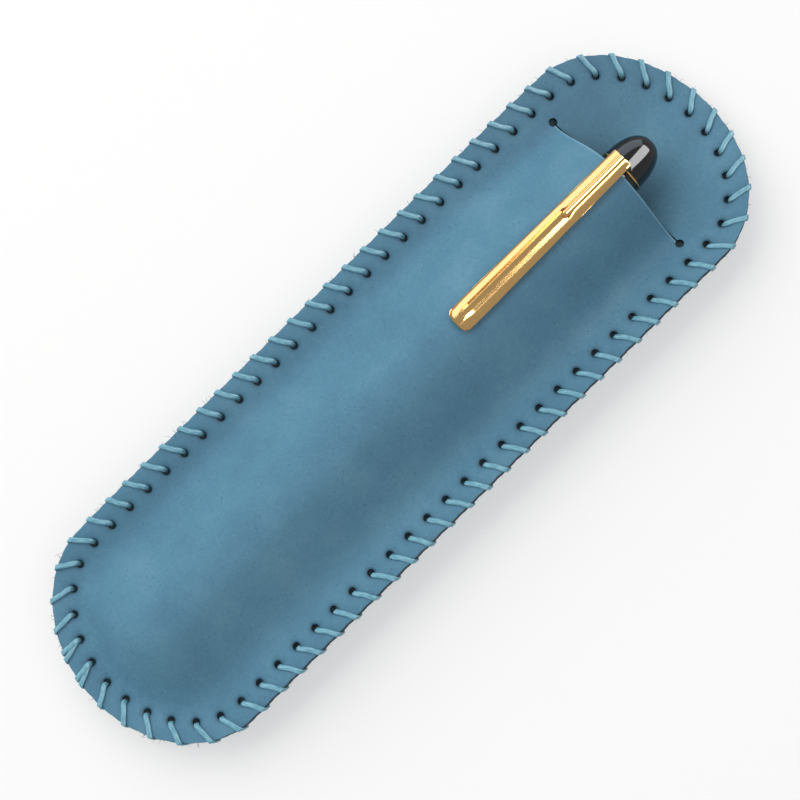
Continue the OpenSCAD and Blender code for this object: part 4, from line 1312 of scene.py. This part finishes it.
@dataclass
class PenClip:
    """The gold clip: a rolled strip with bevelled sides, a ridge with a ball, a channel and a full tip."""

    form: PenForm
    finishes: Finishes
    length: float = 43.0
    top_w: float = 4.4
    wide_w: float = 5.3
    wide_from_tip: float = 7.0
    thickness: float = 1.1
    clear: float = 0.7
    tip_gap: float = 0.2
    corner_r: float = 1.6
    foot_r: float = 1.0
    foot_h: float = 3.7
    ridge_l: float = 14.0
    ridge_r: float = 0.72
    ball_r: float = 0.9
    channel_w: float = 2.2
    channel_depth: float = 0.32
    # The channel starts this far from the tip, eases in over as much and ends over a shorter way
    channel_from: float = 1.6
    channel_end_ease: float = 0.8
    # Beside the ridge the flat top is this wide from the middle, and the channel's floor is crested
    ridge_side: float = 0.8
    crest: float = 0.16
    # Slope of the bevelled sides, in degrees
    flank: float = 30.0
    # The tip thins to this share over this length
    tip_share: float = 0.45
    tip_ease_l: float = 1.1
    rim: float = 0.1
    edge: float = 0.12
    sharp: float = 28.0
    # The middles of the ridge's rod and ball lie this far below the bar's top
    rod_sink: float = 0.12
    rod_ease: float = 0.22
    ball_sink: float = 0.3
    ball_stretch: tuple[float, float, float] = (0.95, 0.95, 1.1)
    # The riser and the pad under the tip run this far up into the bar
    riser_into: float = 0.5
    pad_into: float = 0.3
    pad_l: float = 2.4
    pad_margin: float = 0.35
    pad_from_tip: float = 1.9
    block_ease: float = 0.25

    def __post_init__(self) -> None:
        """Works out the bar's underside, its tip and its upper end."""
        self.low = self.form.sleeve.cap_reach + self.form.sleeve.leather_t + self.clear
        self.tip = self.form.foot_at - self.length
        self.top = self.form.riser_t / 2 + self.length

    def half_width(self, back: float) -> float:
        """Half the clip's width at a distance from its tip."""
        if back > self.wide_from_tip:
            share = (back - self.wide_from_tip) / (self.top - self.wide_from_tip)
            return (self.wide_w + (self.top_w - self.wide_w) * share) / 2
        if back < self.corner_r:
            bow = math.sqrt(max(0, self.corner_r ** 2 - (self.corner_r - back) ** 2))
            return self.wide_w / 2 - self.corner_r + bow
        return self.wide_w / 2

    def section(self, back: float) -> Profile:
        """Works out the bar's right half at a distance from the tip.

        Both flanks slope down from the shoulders, and the channel lies sunk between them.

        Args:
            back: distance from the tip.

        Returns:
            Points across and above the underside, from the edge to the middle.
        """
        half = self.half_width(back)
        full = min(1, back / self.tip_ease_l) ** 0.5
        thick = self.thickness * (self.tip_share + (1 - self.tip_share) * full)
        ends = (back - self.channel_from) / self.channel_from, back - (self.length - self.ridge_l)
        into = float(min(smooth(ends[0]), 1 - smooth(ends[1] / self.channel_end_ease)))
        floor, crest = thick - self.channel_depth * into, self.crest * into
        inner = min(self.ridge_side + (self.channel_w / 2 - self.ridge_side) * into, half * 0.62)
        rim = min(self.rim, 0.03 * back + 0.03) if back < self.top - 0.2 else 0.06
        fall = (half - inner - self.rim) * math.tan(math.radians(self.flank))
        side = min(thick - fall, thick - 0.3)
        return [
            (half - self.edge, 0.0), (half, 0.1), (half, side * 0.6), (half - 0.03, side - 0.1),
            (half - self.edge, side), (inner + 0.16, thick - rim * 0.3), (inner + 0.06, thick),
            (inner - 0.02, thick - 0.05), (inner - 0.14, floor - crest), (inner * 0.6, floor - 0.42 * crest),
            (inner * 0.28, floor - 0.1 * crest), (0.0, floor),
        ]

    def bar(self) -> bpy.types.Object:
        """Rolls the bar: the section's points are laid station by station, closer where it changes fast.

        Returns:
            The bar, on the pen's own axis.
        """
        step = self.length - self.ridge_l
        backs = [0.0, 0.05, 0.15, 0.3, 0.5, 0.75, 1.05, 1.35, 1.6, 2.0, 2.5, 3.2, 4.5, 7.0,
                 *np.linspace(9, step - 1.2, 14), step - 0.4, step, step + 0.4, step + 0.8, step + 1.4,
                 *np.linspace(step + 3, self.top - 0.6, 8), self.top - 0.25, self.top - 0.1, self.top]
        points = []
        for back in backs:
            # The upper end is rounded off over its last bit
            left = max(0.0, 1 - (self.top - back) / 0.3)
            right = [(x, y - (0.18 * left ** 2 if y > 0.4 else 0)) for x, y in self.section(back)]
            ring = right + [(-x, y) for x, y in right[-2::-1]]
            points += [(x, self.low + y, self.tip + back) for x, y in ring]
        Modeller.clear()
        return new_piece("gold_clip", points, tube_faces(0, len(backs), len(ring)))

    def ridge(self) -> list[bpy.types.Object]:
        """Makes the half-round ridge with the ball at its end.

        Returns:
            The rod and the ball.
        """
        top = self.low + self.thickness
        start, end = self.form.foot_at - self.ridge_l, self.form.foot_at + self.form.riser_t / 2 - 0.05
        rod = Modeller.solid(
            bpy.ops.mesh.primitive_cylinder_add, (0, top - self.rod_sink, (start + end) / 2),
            self.rod_ease, 4, only_top=True, vertices=48, radius=self.ridge_r * MM,
            depth=(end - start) * MM)
        ball = Modeller.solid(
            bpy.ops.mesh.primitive_uv_sphere_add, (0, top - self.ball_sink, start),
            stretch=self.ball_stretch, segments=40, ring_count=24, radius=self.ball_r * MM)
        return [rod, ball]

    def foot(self) -> list[bpy.types.Object]:
        """Makes the riser, the pad under the tip and the round foot that turns in the cap.

        Returns:
            The three parts.
        """
        foot_at, pad_low = self.form.foot_at, self.low - self.clear + self.tip_gap
        parts = [
            Modeller.solid(bpy.ops.mesh.primitive_cube_add, (0, (end + start) / 2, at), self.block_ease, 3,
                           stretch=(wide, end - start, long), size=MM)
            for wide, long, start, end, at in (
                (self.top_w, self.form.riser_t, self.foot_h, self.low + self.riser_into, foot_at),
                (self.wide_w - 2 * self.pad_margin, self.pad_l, pad_low, self.low + self.pad_into,
                 self.tip + self.pad_from_tip))]
        parts.append(Modeller.solid(
            bpy.ops.mesh.primitive_cylinder_add, (0, self.foot_h, foot_at), self.edge, 2, vertices=48,
            radius=self.foot_r * MM, depth=self.top_w * MM, rotation=(0, math.pi / 2, 0)))
        return parts

    def build(self) -> None:
        """Joins the clip's forms into one piece and dresses it."""
        piece = self.bar()
        others = self.ridge() + self.foot()
        Modeller.clear()
        for part in (*others, piece):
            part.select_set(True)
        bpy.context.view_layer.objects.active = piece
        bpy.ops.object.transform_apply(location=True, rotation=True, scale=True)
        bpy.ops.object.join()
        Modeller.finish(piece, self.finishes.by_slot[Slot.GOLD], self.form.place(), self.sharp)
        place_piece(piece, Body.CLIP, Slot.GOLD, "clip")


@dataclass(frozen=True)
class SoftLight:
    """One soft area light that faces the sleeve, in metres and watts, its first size along the sleeve."""

    name: str
    place: tuple[float, float, float]
    size: tuple[float, float]
    power: float
    feeds: Feeds
    colour: str = "#ffffff"

    def hang(self) -> None:
        """Hangs the light."""
        data = bpy.data.lights.new(self.name, "AREA")
        data.shape = "RECTANGLE"
        data.size, data.size_y = self.size
        data.energy = self.power
        data.color = linear(self.colour)[:3]
        lamp = bpy.data.objects.new(self.name, data)
        lamp.visible_diffuse = self.feeds is Feeds.MATT
        lamp.visible_glossy = self.feeds is Feeds.GLOSS
        bpy.context.collection.objects.link(lamp)
        back = Vector(self.place).normalized()
        along = (Vector((0, 1, 0)) - back.y * back).normalized()
        turn = Matrix((along, back.cross(along), back)).transposed()
        lamp.matrix_world = Matrix.Translation(self.place) @ turn.to_4x4()


@dataclass
class Studio:
    """Pale floor, soft lights and the camera at the photograph's angle."""

    distance: float = 357.0
    view_width: float = 154.4
    sensor: float = 36.0
    roll: float = 44.5
    lean: float = 10.5
    look_height: float = 5.0
    # Where the sleeve's middle stands in the frame, in pixels
    middle: tuple[float, float] = (398.94, 396.8)
    frame_px: float = 800.0
    floor_size: float = 6000.0
    floor_drop: float = 0.1
    board_tooth: float = 10 / 9
    # The board glows a little, as a lit white board does
    board_glow: float = 0.46
    board_glow_colour: str = "#fbfaf8"
    room_colour: str = "#f7f8fa"
    room_light: float = 0.42
    lights: tuple[SoftLight, ...] = (
        SoftLight("left_softbox", (-0.74, -0.05, 0.68), (2.0, 1.2), 15.6, Feeds.MATT),
        SoftLight("right_fill", (0.5, 0.1, 0.75), (1.2, 0.8), 2.1, Feeds.MATT, "#e9f2ff"),
        SoftLight("left_card", (-0.88, 0.3, 0.5), (2.4, 0.95), 10.6, Feeds.GLOSS, "#dcebff"),
        SoftLight("right_card", (0.25, 0.59, 0.69), (1.25, 0.66), 18.5, Feeds.GLOSS),
    )

    def floor(self) -> None:
        """Lays the pale floor, which stays out of the gloss."""
        Modeller.clear()
        bpy.ops.mesh.primitive_plane_add(size=self.floor_size * MM, location=(0, 0, -self.floor_drop * MM))
        floor = bpy.context.object
        floor.name = "floor"
        # Dead matt card with a fine tooth, so that the shadows on it stay soft and even
        board = Moulded("matt_white_board", "#b5b4b3", 0.9, self.board_tooth, strength=0.05, depth=0.05)
        floor.data.materials.append(board.material(
            Emission_Color=linear(self.board_glow_colour), Emission_Strength=self.board_glow))
        floor.visible_glossy = False

    def camera(self) -> None:
        """Sets the camera: above the sleeve, leaning to its right, and rolled, with the slit up right."""
        data = bpy.data.cameras.new("camera")
        data.sensor_width = self.sensor
        data.lens = self.sensor * self.distance / self.view_width
        data.clip_start = 0.01
        camera = bpy.data.objects.new("camera", data)
        bpy.context.collection.objects.link(camera)
        lean, roll = math.radians(self.lean), math.radians(self.roll)
        back = Vector((math.sin(lean), 0, math.cos(lean)))
        along = Vector((0, 1, 0))
        across = Vector((math.cos(lean), 0, -math.sin(lean)))
        right = math.cos(roll) * along + math.sin(roll) * across
        up = math.sin(roll) * along - math.cos(roll) * across
        aside, lower = ((self.frame_px / 2 - at) * self.view_width / self.frame_px for at in self.middle)
        target = Vector((0, 0, self.look_height)) + right * aside - up * lower
        turn = Matrix((right, up, back)).transposed()
        camera.matrix_world = Matrix.Translation((target + back * self.distance) * MM) @ turn.to_4x4()
        bpy.context.scene.camera = camera

    def build(self) -> None:
        """Sets up the whole studio, with the room's dim even light and colours shown as they are."""
        bpy.context.scene.view_settings.view_transform = "Standard"
        self.floor()
        for light in self.lights:
            light.hang()
        world = bpy.data.worlds.new("room")
        world.use_nodes = True
        fill(world.node_tree.nodes["Background"], {0: linear(self.room_colour), 1: self.room_light})
        bpy.context.scene.world = world
        self.camera()


def main() -> None:
    logging.basicConfig(level=logging.INFO)
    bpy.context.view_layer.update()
    finishes = Finishes()
    Studio().build()
    finishes.dress_nodes()
    form = SleeveForm()
    LeatherPanels(form, finishes).build()
    stitching = WhipStitching(form, finishes)
    stitching.build()
    EdgeFibres(stitching, finishes).build()
    pen = PenForm(form)
    PenBody(pen, finishes).build()
    PenClip(pen, finishes).build()


if __name__ == "__main__":
    main()
